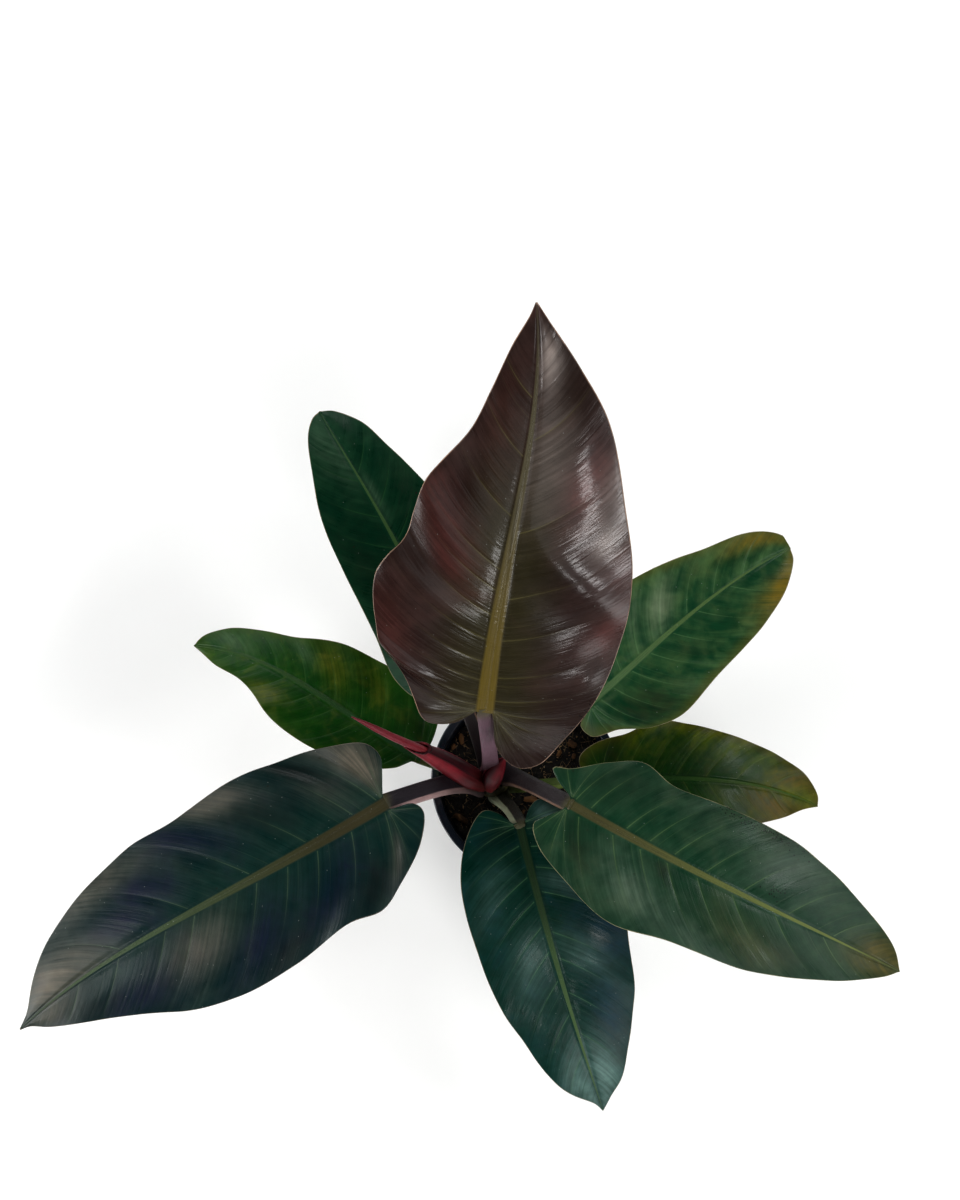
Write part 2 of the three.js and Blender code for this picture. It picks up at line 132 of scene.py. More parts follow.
class Line:
    """A smooth line through chosen points, read by the share of its length."""

    def __init__(self, points: Sequence[Sequence[float]], steps: int = 40) -> None:
        """Args:
            points: the places that the line passes through.
            steps: samples from one point to the next.
        """
        knots = np.array(points, float)
        knots = np.vstack([2 * knots[0] - knots[1], knots, 2 * knots[-1] - knots[-2]])
        runs = [self.span(knots[i : i + 4], steps) for i in range(len(knots) - 3)]
        self.samples = np.vstack([*runs, knots[-2]])
        gaps = np.linalg.norm(np.diff(self.samples, axis=0), axis=1)
        self.reach = np.concatenate([[0], np.cumsum(gaps)])
        self.length = float(self.reach[-1])

    @staticmethod
    def span(knots: Array, steps: int) -> Array:
        """The centripetal curve from the second of four knots to the third."""
        first, start, end, last = knots
        before, during, after = (
            max(float(np.linalg.norm(b - a)) ** 0.5, 1e-3) for a, b in zip(knots[:-1], knots[1:])
        )
        leave = (start - first) / before - (end - first) / (before + during) + (end - start) / during
        arrive = (end - start) / during - (last - start) / (during + after) + (last - end) / after
        t = np.linspace(0, 1, steps, endpoint=False)[:, None]
        return (
            (2 * t**3 - 3 * t**2 + 1) * start
            + (t**3 - 2 * t**2 + t) * leave * during
            + (3 * t**2 - 2 * t**3) * end
            + (t**3 - t**2) * arrive * during
        )

    def at(self, shares: Array) -> Array:
        """The points at shares of the line's length."""
        places = np.clip(shares, 0, 1) * self.length
        return np.stack([np.interp(places, self.reach, axis) for axis in self.samples.T], axis=-1)


def shown(name: str, mesh: bpy.types.Mesh) -> Item:
    """Puts a mesh into the scene as the visual object of that name, at the origin."""
    item = bpy.data.objects.new(name + "_visual", mesh)
    bpy.context.scene.collection.objects.link(item)
    return item


def piece(name: str, points: Array, faces: Sequence[Sequence[int]], smooth: bool = True) -> Item:
    """Makes an object from points in millimetres, with its faces turned outwards.

    Args:
        name: the piece's name.
        points: its vertices.
        faces: the vertices of each face.
        smooth: whether the faces are shaded smooth.

    Returns:
        The object, at the origin.
    """
    mesh = bpy.data.meshes.new(name)
    mesh.from_pydata((np.asarray(points) * MM).tolist(), [], [list(f) for f in faces])
    mesh.validate()
    shell = bmesh.new()
    shell.from_mesh(mesh)
    if shell.calc_volume(signed=True) < 0:
        bmesh.ops.reverse_faces(shell, faces=shell.faces)
    shell.to_mesh(mesh)
    shell.free()
    mesh.polygons.foreach_set("use_smooth", [smooth] * len(mesh.polygons))
    return shown(name, mesh)


def mark(item: Item, name: str, values: Array) -> None:
    """Stores one number for each vertex, for the piece's material to read."""
    layer = item.data.attributes.new(name, "FLOAT", "POINT")
    layer.data.foreach_set("value", np.asarray(values, np.float32).ravel())


def settle(item: Item, material: Material, slot: str, *nodes: str) -> Item:
    """Dresses a finished piece and lets it ride on the plant in the place of its CAD nodes."""
    item.data.materials.clear()
    item.data.materials.append(material)
    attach(item, BODY)
    if nodes:
        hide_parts(*nodes)
    log.info("%s: %d faces", item.name, len(item.data.polygons))
    return item


def baked(item: Item) -> Item:
    """Turns an object's modifiers into a plain mesh."""
    graph = bpy.context.evaluated_depsgraph_get()
    final = item.evaluated_get(graph)
    mesh = bpy.data.meshes.new_from_object(final, preserve_all_data_layers=True, depsgraph=graph)
    item.modifiers.clear()
    item.data = mesh
    return item


class Graph:
    """A node tree that is written as nested calls."""

    def __init__(self, tree: bpy.types.NodeTree) -> None:
        """Args:
            tree: the shader or geometry tree that the nodes go into.
        """
        self.tree = tree

    def node(self, kind: str, inputs: dict | None = None, **settings: object) -> bpy.types.Node:
        """Adds a node.

        Args:
            kind: Blender's name for it.
            inputs: what goes into its sockets, by name or number: a value or another node's output.
            settings: its own options.

        Returns:
            The node.
        """
        made = self.tree.nodes.new(kind)
        for name, value in settings.items():
            setattr(made, name, value)
        for key, value in (inputs or {}).items():
            self.feed(made.inputs[key], value)
        return made

    def take(self, kind: str, inputs: dict | None = None, **settings: object) -> Socket:
        """Adds a node and gives its first output."""
        return self.node(kind, inputs, **settings).outputs[0]

    def feed(self, socket: Socket, value: object) -> None:
        """Links an output to the socket, or sets the socket's own value."""
        if isinstance(value, Socket):
            self.tree.links.new(value, socket)
        elif socket.type == "RGBA" and len(value) == 3:
            socket.default_value = (*value, 1)
        else:
            socket.default_value = value

    def maths(self, operation: str, *values: object, clamp: bool = False) -> Socket:
        """One step of arithmetic on numbers or outputs."""
        return self.take("ShaderNodeMath", dict(enumerate(values)), operation=operation, use_clamp=clamp)

    def plus(self, first: object, second: object, clamp: bool = False) -> Socket:
        """The sum of two numbers or outputs, kept from 0 to 1 if it is clamped."""
        return self.maths("ADD", first, second, clamp=clamp)

    def minus(self, first: object, second: object) -> Socket:
        """The difference of two numbers or outputs."""
        return self.maths("SUBTRACT", first, second)

    def times(self, *values: object) -> Socket:
        """The product of two or more numbers or outputs."""
        product = values[0]
        for value in values[1:]:
            product = self.maths("MULTIPLY", product, value)
        return product

    def join(self, x: object, y: object, z: object = 0.0) -> Socket:
        """Three numbers as one vector."""
        return self.take("ShaderNodeCombineXYZ", {0: x, 1: y, 2: z})


class Shader(Graph):
    """A material with one glossy surface."""

    def __init__(self, name: str, **surface: float) -> None:
        """Args:
            name: the material's name.
            surface: the values that hold all over the surface, by socket, with _ for a space.
        """
        self.material = bpy.data.materials.new(name)
        self.material.use_nodes = True
        super().__init__(self.material.node_tree)
        self.tree.nodes.clear()
        self.surface = self.node("ShaderNodeBsdfPrincipled")
        for socket, value in surface.items():
            self.feed(self.surface.inputs[socket.replace("_", " ")], value)
        self.node("ShaderNodeOutputMaterial", {"Surface": self.surface.outputs[0]})

    def place(self, scale: Point = (1, 1, 1)) -> Socket:
        """The point on the piece, in metres, stretched by scale."""
        spot = self.node("ShaderNodeTexCoord").outputs["Object"]
        return self.take("ShaderNodeMapping", {"Vector": spot, "Scale": scale})

    def read(self, name: str) -> Socket:
        """A number stored on the piece's vertices."""
        return self.node("ShaderNodeAttribute", attribute_name=name).outputs["Fac"]

    def noise(self, at: Socket, scale: float, detail: float = 2, twist: float = 0) -> Socket:
        """Soft noise from 0 to 1."""
        inputs = {"Vector": at, "Scale": scale, "Detail": detail, "Distortion": twist}
        return self.node("ShaderNodeTexNoise", inputs).outputs["Fac"]

    def specks(
        self,
        scale: float,
        size: tuple[float, float],
        rare: tuple[float, float],
        channel: int = 0,
        more: Socket | None = None,
    ) -> Socket:
        """Soft round specks, of which only those show whose random number is high.

        Args:
            scale: specks to the metre.
            size: the radii, as shares of their spacing, where they are whole and where they end.
            rare: the random numbers, of 0 to 1, from which a speck starts to show and shows fully.
            channel: which of the three random numbers of a speck counts.
            more: what is added to the random number, which brings out more of them.

        Returns:
            1 on a speck and 0 off it.
        """
        found = self.node("ShaderNodeTexVoronoi", {"Vector": self.place(), "Scale": scale, "Randomness": 1.0})
        pick = self.node("ShaderNodeSeparateColor", {0: found.outputs["Color"]}).outputs[channel]
        if more is not None:
            pick = self.plus(more, pick)
        return self.times(self.step(found.outputs["Distance"], *size, 1, 0), self.step(pick, *rare))

    def step(self, value: object, low: float, high: float, start: float = 0, end: float = 1) -> Socket:
        """A smooth step of value, from start at low to end at high."""
        inputs = {"Value": value, "From Min": low, "From Max": high, "To Min": start, "To Max": end}
        return self.take("ShaderNodeMapRange", inputs, interpolation_type="SMOOTHSTEP")

    def mix(self, share: object, first: object, second: object) -> Socket:
        """A blend of two colours."""
        made = self.node("ShaderNodeMix", data_type="RGBA")
        self.feed(made.inputs[0], share)
        self.feed(made.inputs[6], first)
        self.feed(made.inputs[7], second)
        return made.outputs[2]

    def shade(self, colour: object, by: object) -> Socket:
        """A colour made lighter or darker by a number round 1."""
        made = self.node("ShaderNodeVectorMath", {0: colour}, operation="SCALE")
        self.feed(made.inputs["Scale"], by)
        return made.outputs[0]

    def vary(
        self, colour: object, noise: object, dim: float, bright: float, low: float = 0.25, high: float = 0.75
    ) -> Socket:
        """A colour made darker where the noise is low and lighter where it is high."""
        return self.shade(colour, self.step(noise, low, high, dim, bright))

    def raise_by(self, height: object, depth: float, over: object = None) -> Socket:
        """A normal bent by a height of 0 to 1, which stands for depth millimetres, over another normal."""
        inputs = {"Height": height, "Distance": depth * MM, "Strength": 1.0}
        if over is not None:
            inputs["Normal"] = over
        return self.take("ShaderNodeBump", inputs)

    def finish(self, colour: object, roughness: object, normal: object = None) -> Material:
        """Wires the surface up and gives the material."""
        self.feed(self.surface.inputs["Base Color"], colour)
        self.feed(self.surface.inputs["Roughness"], roughness)
        if normal is not None:
            self.feed(self.surface.inputs["Normal"], normal)
        return self.material


@dataclass(frozen=True)
class BladeFinish:
    """Colours and gloss of one leaf blade."""

    slot: str
    dark: Colour
    light: Colour
    flush: Colour
    heart: Colour
    vein: Colour
    midrib: Colour
    midrib_tip: Colour
    rim: Colour
    under: Colour
    # Colour of the painted sheen: pale patches that stand in for reflections.
    painted_sheen: Colour = rgb(96, 96, 88)
    flush_share: float = 0.5
    heart_share: float = 0.0
    edge_flush: float = 0.0
    roughness: float = 0.34
    streak_depth: float = 0.05
    dust: float = 0.5
    dust_colour: Colour = rgb(150, 155, 150)
    blemish: float = 0.3
    scar_colour: Colour = rgb(40, 30, 22)
    pit_colour: Colour = rgb(12, 14, 12)
    rib_reach: float = 1.0
    shine: float = 0.22
    coat: float = 0.05
    seed: float = 0.0

    def material(self, name: str) -> Material:
        """Builds the blade's material from the numbers stored on its mesh."""
        s = Shader(name, Specular_IOR_Level=self.shine, Coat_Weight=self.coat, Coat_Roughness=0.13)
        across, out = s.read("across"), s.read("out")
        # Stretched along the veins: hair-fine striations and threads.
        lines = s.noise(s.join(s.times(across, 1.25), s.times(out, 0.03), self.seed), 1.0, 3)
        threads = s.noise(s.join(s.times(across, 0.42), s.times(out, 0.02), self.seed + 5), 1.0, 4, 0.3)
        bands = s.noise(s.join(s.times(across, 0.06), s.times(out, 0.02), self.seed + 3), 1.0, 2, 0.8)
        blotch = s.noise(s.place(), 24 + self.seed, 4, 0.6)
        mottle = s.noise(s.place(), 130 + self.seed, 3)
        patchy = s.step(s.plus(s.times(threads, 0.5), s.times(blotch, 0.5)), 0.25, 0.75, 0.45, 1.35)
        # Painted sheen: where the sheen patches lie, the colour is paled to stand in for reflections.
        painted_sheen = s.times(s.read("painted_sheen"), patchy)
        colour = self.skin(s, bands, blotch, patchy)
        colour = s.mix(painted_sheen, colour, self.painted_sheen)
        # Painted shade: where the shade patches lie, the colour is darkened.
        colour = s.vary(colour, s.times(s.read("deep"), patchy), 1, 0.35, 0, 1)
        colour = s.vary(colour, lines, 0.94, 1.06)
        colour = s.vary(colour, threads, 0.93, 1.07)
        colour = s.vary(colour, mottle, 0.92, 1.08, 0.3, 0.7)
        colour = self.veined(s, colour, mottle)
        reach = s.step(s.read("along"), 0.1, 0.95, self.rib_reach, 0.62 * self.rib_reach)
        on_rib = s.step(s.minus(s.read("rib"), reach), -0.2, 0.16, 1, 0)
        colour = self.ribbed(s, colour, on_rib)
        colour = self.worn(s, colour)
        colour = s.mix(s.read("under"), colour, self.underside(s, bands))
        gloss = s.plus(self.roughness, s.step(threads, 0.2, 0.8, -0.05, 0.07))
        gloss = s.plus(gloss, s.step(blotch, 0.3, 0.75, -0.03, 0.08))
        gloss = s.plus(gloss, s.times(s.read("under"), 0.2))
        gloss = s.plus(gloss, s.times(painted_sheen, 0.1))
        gloss = s.plus(gloss, s.times(on_rib, 0.16), clamp=True)
        # The waxy coat lies smoother than the skin under it.
        waxy = s.raise_by(threads, self.streak_depth * 3.5)
        s.feed(s.surface.inputs["Coat Normal"], waxy)
        normal = s.raise_by(lines, self.streak_depth, waxy)
        return s.finish(colour, gloss, s.raise_by(mottle, 0.12, normal))

    def skin(self, s: Shader, bands: Socket, blotch: Socket, patchy: Socket) -> Socket:
        """The skin between the veins: two shades in clouds, the heart by the stalk, and the flush."""
        cloud = s.plus(s.times(bands, 0.55), s.times(blotch, 0.45))
        colour = s.mix(s.step(cloud, 0.34, 0.68), self.dark, self.light)
        near_stalk = s.step(s.read("along"), 0.4, 0.9, 1, 0)
        near_rib = s.times(s.step(s.read("out"), 4, 42, 1, 0), near_stalk, self.heart_share)
        colour = s.mix(near_rib, colour, self.heart)
        flush = s.times(s.step(blotch, 0.5, 0.75), self.flush_share)
        flush = s.plus(flush, s.times(s.read("flush"), patchy), clamp=True)
        near_edge = s.step(s.plus(s.read("edge"), s.times(blotch, 12)), 5, 17, 1, 0)
        flush = s.plus(flush, s.times(near_edge, self.edge_flush), clamp=True)
        return s.mix(flush, colour, self.flush)

    def veined(self, s: Shader, colour: Socket, mottle: Socket) -> Socket:
        """Draws the main veins with their pale halo, and the thin veins between them."""
        out, vein = s.read("out"), s.read("vein")
        halo = s.times(s.step(vein, 0.3, 3.0, 0.07, 0), s.step(out, 0, 50, 1, 0.1))
        colour = s.mix(halo, colour, self.vein)
        line = s.step(s.minus(vein, s.step(out, 0, 45, 0.3, 0.08)), -0.2, 0.28, 1, 0)
        strength = s.times(s.step(out, 2, 52, 0.42, 0.05), s.step(mottle, 0.2, 0.7, 0.6, 1.15))
        colour = s.mix(s.times(line, strength), colour, self.vein)
        thin = s.times(s.step(s.read("minor"), 0.1, 0.5, 0.16, 0), s.step(out, 0, 40, 1, 0))
        return s.mix(thin, colour, self.vein)

    def ribbed(self, s: Shader, colour: Socket, on_rib: Socket) -> Socket:
        """Draws the grooved midrib, which pales and fades towards the tip."""
        along = s.read("along")
        rib_colour = s.mix(s.step(along, 0.05, 0.7), self.midrib, self.midrib_tip)
        grooves = s.noise(s.join(s.times(s.read("rib"), 7), s.times(along, 9), self.seed), 1.0, 3)
        rib_colour = s.vary(rib_colour, grooves, 0.84, 1.16)
        return s.mix(s.times(on_rib, s.step(along, 0.75, 1.0, 1, 0.45)), colour, rib_colour)

    def worn(self, s: Shader, colour: Socket) -> Socket:
        """Adds the pale worn rim, dust, brown scars and dark specks."""
        wear = s.noise(s.join(s.times(s.read("across"), 0.05), 0, self.seed + 9), 1.0, 3)
        at_rim = s.times(s.step(s.read("edge"), 0.3, 0.75, 1, 0), s.step(wear, 0.35, 0.65, 0.25, 0.95))
        colour = s.mix(at_rim, colour, self.rim)
        dust = s.specks(300, (0.05, 0.11), (0.84, 0.85))
        colour = s.mix(s.times(dust, self.dust), colour, self.dust_colour)
        scars = s.specks(110, (0.05, 0.13), (0.9, 0.91), channel=1)
        colour = s.mix(s.times(scars, self.blemish), colour, self.scar_colour)
        pits = s.specks(680, (0.2, 0.42), (1.18, 1.25), more=s.read("pitted"))
        return s.mix(pits, colour, self.pit_colour)

    def underside(self, s: Shader, bands: Socket) -> Socket:
        """The dull underside, with its veins and its keel."""
        below = s.mix(s.step(bands, 0.3, 0.7), self.under, s.shade(self.under, 0.7))
        below = s.mix(s.step(s.minus(s.read("vein"), 0.9), -0.4, 0.6, 0.5, 0), below, self.midrib)
        return s.mix(s.step(s.read("rib"), 0.9, 1.15, 1, 0), below, self.midrib)


@dataclass(frozen=True)
class StalkFinish:
    """Colours of one leaf stalk: its flat top, its rounded flank and its two ends."""

    slot: str
    top: Colour
    flank: Colour
    edge: Colour
    foot: Colour
    knuckle: Colour = rgb(74, 72, 40)
    # Which side of the stalk, if any, takes the pale flank colour further up, and from how far across it.
    pale_side: int = 0
    pale_from: float = 0.5
    roughness: float = 0.42

    def material(self, name: str) -> Material:
        """Builds the stalk's material from the numbers stored on its mesh."""
        s = Shader(name, Specular_IOR_Level=0.45, Coat_Weight=0.08, Coat_Roughness=0.2)
        turn, along, aside = s.read("turn"), s.read("along"), s.read("aside")
        lines = s.noise(s.join(s.times(turn, 9), s.times(along, 3), s.times(aside, 9)), 3.0, 3)
        blotch = s.noise(s.place(), 120, 3)
        colour = s.mix(s.step(turn, -0.12, 0.1), self.flank, self.top)
        ridge = s.step(s.maths("ABSOLUTE", s.minus(turn, 0.02)), 0.02, 0.14, 0.7, 0)
        colour = s.mix(ridge, colour, self.edge)
        # One side of the stalk, picked for each stalk, takes the pale flank colour further up towards the
        # top.
        toward_pale_side = s.plus(s.times(aside, float(self.pale_side)), s.times(lines, 0.12))
        colour = s.mix(s.step(toward_pale_side, self.pale_from, self.pale_from + 0.14), colour, self.flank)
        colour = s.mix(s.step(along, 0.0, 0.35, 0.75, 0), colour, self.foot)
        at_blade = s.step(s.plus(along, s.times(blotch, 0.05)), 0.93, 1.02, 0, 0.9)
        colour = s.mix(at_blade, colour, self.knuckle)
        colour = s.vary(colour, lines, 0.78, 1.2)
        colour = s.vary(colour, blotch, 0.88, 1.12, 0.3, 0.7)
        gloss = s.step(blotch, 0.25, 0.75, self.roughness - 0.07, self.roughness + 0.1)
        return s.finish(colour, gloss, s.raise_by(lines, 0.25))


@dataclass(frozen=True)
class SheathFinish:
    """Colours of a red sheath or of the rolled new leaf."""

    slot: str
    skin: Colour
    # Colour of the painted shade on the inner layer under the lap and of the dark painted line in the fold at
    # the lap's edge.
    shade: Colour
    base: Colour
    dry: Colour
    roughness: float = 0.4

    def material(self, name: str) -> Material:
        """Builds the sheath's material from the numbers stored on its mesh."""
        s = Shader(name, Specular_IOR_Level=0.26, Coat_Weight=0.04, Coat_Roughness=0.2)
        turn, along = s.read("turn"), s.read("along")
        lines = s.noise(s.join(s.times(turn, 26), s.times(along, 2.5)), 1.0, 3)
        blotch = s.noise(s.place(), 150, 3)
        # Painted shade: the inner layer that the lap covers takes the shade colour, and the lap's edge gets a
        # dark painted line of shade in its fold.
        colour = s.mix(s.step(turn, 0.28, 0.4), self.shade, self.skin)
        colour = s.mix(s.step(turn, 0.975, 1.0, 0, 0.6), colour, self.shade)
        colour = s.mix(s.step(along, 0.0, 0.4, 0.6, 0), colour, self.base)
        colour = s.vary(colour, lines, 0.78, 1.22)
        colour = s.vary(colour, blotch, 0.86, 1.14, 0.3, 0.72)
        dry = s.step(s.plus(along, s.times(blotch, 0.03)), 0.985, 1.0)
        colour = s.mix(s.times(dry, s.step(turn, 0.36, 0.5, 0.9, 0.15)), colour, self.dry)
        gloss = s.step(blotch, 0.25, 0.75, self.roughness - 0.08, self.roughness + 0.1)
        return s.finish(colour, gloss, s.raise_by(lines, 0.3))


@dataclass(frozen=True)
class PlasticFinish:
    """Glossy moulded plastic with fine scuffs, dust and dried water."""

    # The navy tint is partly the plastic's own blue-black and partly a painted bluish sheen for the rim's
    # reflections.
    colour: Colour = rgb(20, 31, 46)
    dust: Colour = rgb(80, 88, 98)
    roughness: float = 0.2

    def material(self, name: str) -> Material:
        """Builds the plastic."""
        s = Shader(name, Specular_IOR_Level=0.55, Coat_Weight=0.7, Coat_Roughness=0.06)
        film = s.noise(s.place(), 35, 4)
        scuffs = s.noise(s.place((40, 40, 500)), 3, 3)
        colour = s.mix(s.step(film, 0.5, 0.8, 0, 0.16), self.colour, self.dust)
        specks = s.specks(420, (0.07, 0.14), (0.8, 0.82))
        colour = s.mix(s.times(specks, 0.5), colour, self.dust)
        filmed = s.step(film, 0.3, 0.75, self.roughness, self.roughness + 0.2)
        gloss = s.plus(filmed, s.times(scuffs, 0.06))
        return s.finish(colour, gloss, s.raise_by(s.noise(s.place(), 900, 2), 0.02))


@dataclass(frozen=True)
class MixFinish:
    """Damp peat, fibre and bark: three browns in uneven patches."""

    dark: Colour
    mid: Colour
    pale: Colour
    grain: float = 700.0
    roughness: float = 0.85

    def material(self, name: str) -> Material:
        """Builds the crumbly surface, whose patches are a few grains wide."""
        s = Shader(name, Specular_IOR_Level=0.3)
        coarse = s.noise(s.place(), self.grain * 0.25, 3)
        fine = s.noise(s.place(), self.grain, 3)
        colour = s.mix(s.step(coarse, 0.35, 0.7), self.dark, self.mid)
        colour = s.mix(s.times(s.step(fine, 0.55, 0.75), 0.6), colour, self.pale)
        gloss = s.step(coarse, 0.3, 0.8, self.roughness, self.roughness - 0.35)
        return s.finish(colour, gloss, s.raise_by(fine, 0.5))


@dataclass(frozen=True)
class Spot:
    """A soft oval place on a half blade, and how much is done there.

    Share is the place along the margin and out the place from the midrib to the margin, both from 0 to 1, and
    each has a half width. The amount is a lift in millimetres, which dips where it is negative, or a tone's
    strength. With a drift the spot is a slanting band, whose place along the margin moves with out.
    """

    side: Side
    share: float
    out: float
    share_width: float
    out_width: float
    amount: float
    drift: float = 0.0

    def felt(self, share: Array, out: Array) -> Array:
        """How much of the amount is felt at a place."""
        middle = self.share + self.drift * (out - self.out)
        away = ((share - middle) / self.share_width) ** 2 + ((out - self.out) / self.out_width) ** 2
        return self.amount * np.exp(-away)


def on(side: Side, *spots: Sequence[float]) -> tuple[Spot, ...]:
    """Spots on one half, each by its share, out, share width, out width, amount and, if it slants, drift."""
    return tuple(Spot(side, *spot) for spot in spots)


@dataclass(frozen=True)
class Leaf:
    """The sizes of one leaf: its stalk, its midrib, each half's outline and the ends of its main veins."""

    name: str
    foot: Point
    root: Point
    tip: Point
    leave: tuple[float, float]
    arrive: tuple[float, float]
    stalk_width: float
    rib_half_width: float
    arch: float
    bow: float
    bow_peak: float
    fold: float
    curl: float
    left: tuple[tuple[float, float], ...]
    right: tuple[tuple[float, float], ...]
    left_veins: tuple[float, ...]
    right_veins: tuple[float, ...]
    blade: BladeFinish
    stalk: StalkFinish
    left_lean: tuple[float, float] = (0.4, 1.3)
    right_lean: tuple[float, float] = (0.4, 1.3)
    swells: tuple[Spot, ...] = ()
    patches: dict[Tone, tuple[Spot, ...]] = field(default_factory=dict)
    ripple: float = 1.0

    @property
    def length(self) -> float:
        """The blade's chord from root to tip."""
        return math.dist(self.root, self.tip)


MAROON = BladeFinish(
    slot="maroon_blade", dark=rgb(42, 28, 24), light=rgb(58, 46, 42), flush=rgb(84, 46, 42),
    heart=rgb(52, 50, 28), vein=rgb(104, 98, 62), midrib=rgb(98, 84, 32), midrib_tip=rgb(82, 76, 56),
    rim=rgb(176, 146, 126), under=rgb(112, 56, 52), painted_sheen=rgb(138, 128, 122), flush_share=0.2,
    heart_share=0.7, roughness=0.25, streak_depth=0.06, coat=0.32,
)
BLUE_BLACK = replace(
    MAROON, slot="blue_black_blade", dark=rgb(6, 38, 38), light=rgb(38, 56, 52), flush=rgb(14, 26, 48),
    heart=rgb(14, 54, 44), vein=rgb(86, 104, 80), midrib=rgb(62, 58, 36), midrib_tip=rgb(68, 84, 58),
    rim=rgb(122, 112, 100), under=rgb(90, 54, 52), painted_sheen=rgb(110, 104, 92), flush_share=0.3,
    heart_share=0.45, roughness=0.31, streak_depth=0.05, rib_reach=0.85, coat=0.05, seed=11,
)
FRONT_GREEN = replace(
    MAROON, slot="dark_green_blade", dark=rgb(20, 55, 37), light=rgb(52, 77, 57), flush=rgb(98, 86, 40),
    heart=rgb(20, 64, 42), vein=rgb(98, 122, 80), midrib=rgb(78, 76, 48), midrib_tip=rgb(108, 118, 66),
    rim=rgb(160, 152, 118), under=rgb(78, 88, 56), painted_sheen=rgb(112, 126, 112), flush_share=0.06,
    heart_share=0.4, roughness=0.32, streak_depth=0.05, rib_reach=0.7, shine=0.18, coat=0.05, seed=23,
)
HANGING_GREEN = replace(
    FRONT_GREEN, dark=rgb(0, 44, 34), light=rgb(16, 56, 50), flush=rgb(10, 48, 66), heart=rgb(0, 46, 30),
    vein=rgb(84, 120, 86), midrib=rgb(34, 56, 34), midrib_tip=rgb(76, 98, 62), rim=rgb(146, 134, 108),
    painted_sheen=rgb(96, 122, 116), flush_share=0.2, roughness=0.3, shine=0.11, rib_reach=0.75, seed=37,
)
BACK_GREEN = replace(
    HANGING_GREEN, dark=rgb(0, 50, 30), light=rgb(24, 66, 42), flush=rgb(20, 64, 34), heart=rgb(0, 50, 30),
    vein=rgb(50, 92, 52), midrib=rgb(58, 88, 40), midrib_tip=rgb(64, 94, 54), painted_sheen=rgb(70, 96, 74),
    blemish=0.8, rib_reach=0.7, shine=0.22, seed=41,
)
SIDE_GREEN = replace(
    HANGING_GREEN, slot="mid_green_blade", dark=rgb(12, 62, 36), light=rgb(74, 104, 64),
    flush=rgb(116, 100, 28), heart=rgb(20, 68, 42), vein=rgb(92, 124, 84), midrib=rgb(78, 104, 68),
    midrib_tip=rgb(82, 106, 62), painted_sheen=rgb(112, 126, 102), flush_share=0.05, edge_flush=0.3, roughness=0.33,
    shine=0.22, seed=53,
)
LOW_GREEN = replace(
    SIDE_GREEN, dark=rgb(0, 60, 0), light=rgb(38, 78, 14), flush=rgb(92, 98, 20), heart=rgb(10, 66, 16),
    vein=rgb(66, 100, 48), midrib=rgb(30, 72, 34), midrib_tip=rgb(50, 80, 36), painted_sheen=rgb(80, 104, 76),
    flush_share=0.25, edge_flush=0.15, seed=67,
)
OLIVE = replace(
    LOW_GREEN, slot="olive_blade", dark=rgb(28, 62, 0), light=rgb(96, 108, 6), flush=rgb(104, 78, 26),
    heart=rgb(4, 60, 8), vein=rgb(82, 100, 36), midrib=rgb(14, 70, 20), midrib_tip=rgb(60, 88, 20),
    painted_sheen=rgb(78, 92, 50), flush_share=0.1, heart_share=0.9, edge_flush=0.3, roughness=0.38, seed=71,
)

MAUVE_STALK = StalkFinish(
    "mauve_stalk", top=rgb(104, 78, 90), flank=rgb(124, 92, 100), edge=rgb(140, 104, 110),
    foot=rgb(92, 48, 60),
)
PURPLE_STALK = StalkFinish(
    "dark_stalk", top=rgb(32, 25, 34), flank=rgb(158, 132, 130), edge=rgb(112, 90, 94),
    foot=rgb(38, 26, 36), pale_side=-1, pale_from=0.5,
)
GREY_STALK = replace(
    PURPLE_STALK, top=rgb(46, 40, 42), flank=rgb(122, 96, 80), edge=rgb(104, 88, 76), pale_side=1,
    pale_from=0.78,
)
OLIVE_STALK = replace(
    PURPLE_STALK, top=rgb(34, 36, 27), flank=rgb(140, 146, 122), edge=rgb(122, 104, 80),
    foot=rgb(26, 28, 22), pale_side=1, pale_from=0.3,
)
GREEN_STALK = replace(
    OLIVE_STALK, slot="green_stalk", top=rgb(84, 104, 44), flank=rgb(120, 138, 66), edge=rgb(120, 128, 76)
)
RED_SHEATH = SheathFinish(
    "red_sheath", skin=rgb(128, 35, 47), shade=rgb(64, 18, 27), base=rgb(134, 46, 40), dry=rgb(30, 16, 16)
)
RED_BUD = replace(RED_SHEATH, skin=rgb(142, 38, 52), shade=rgb(84, 22, 32))
RED_LEAF = replace(
    RED_SHEATH, slot="red_rolled_leaf", skin=rgb(122, 42, 52), shade=rgb(76, 22, 32), roughness=0.33
)

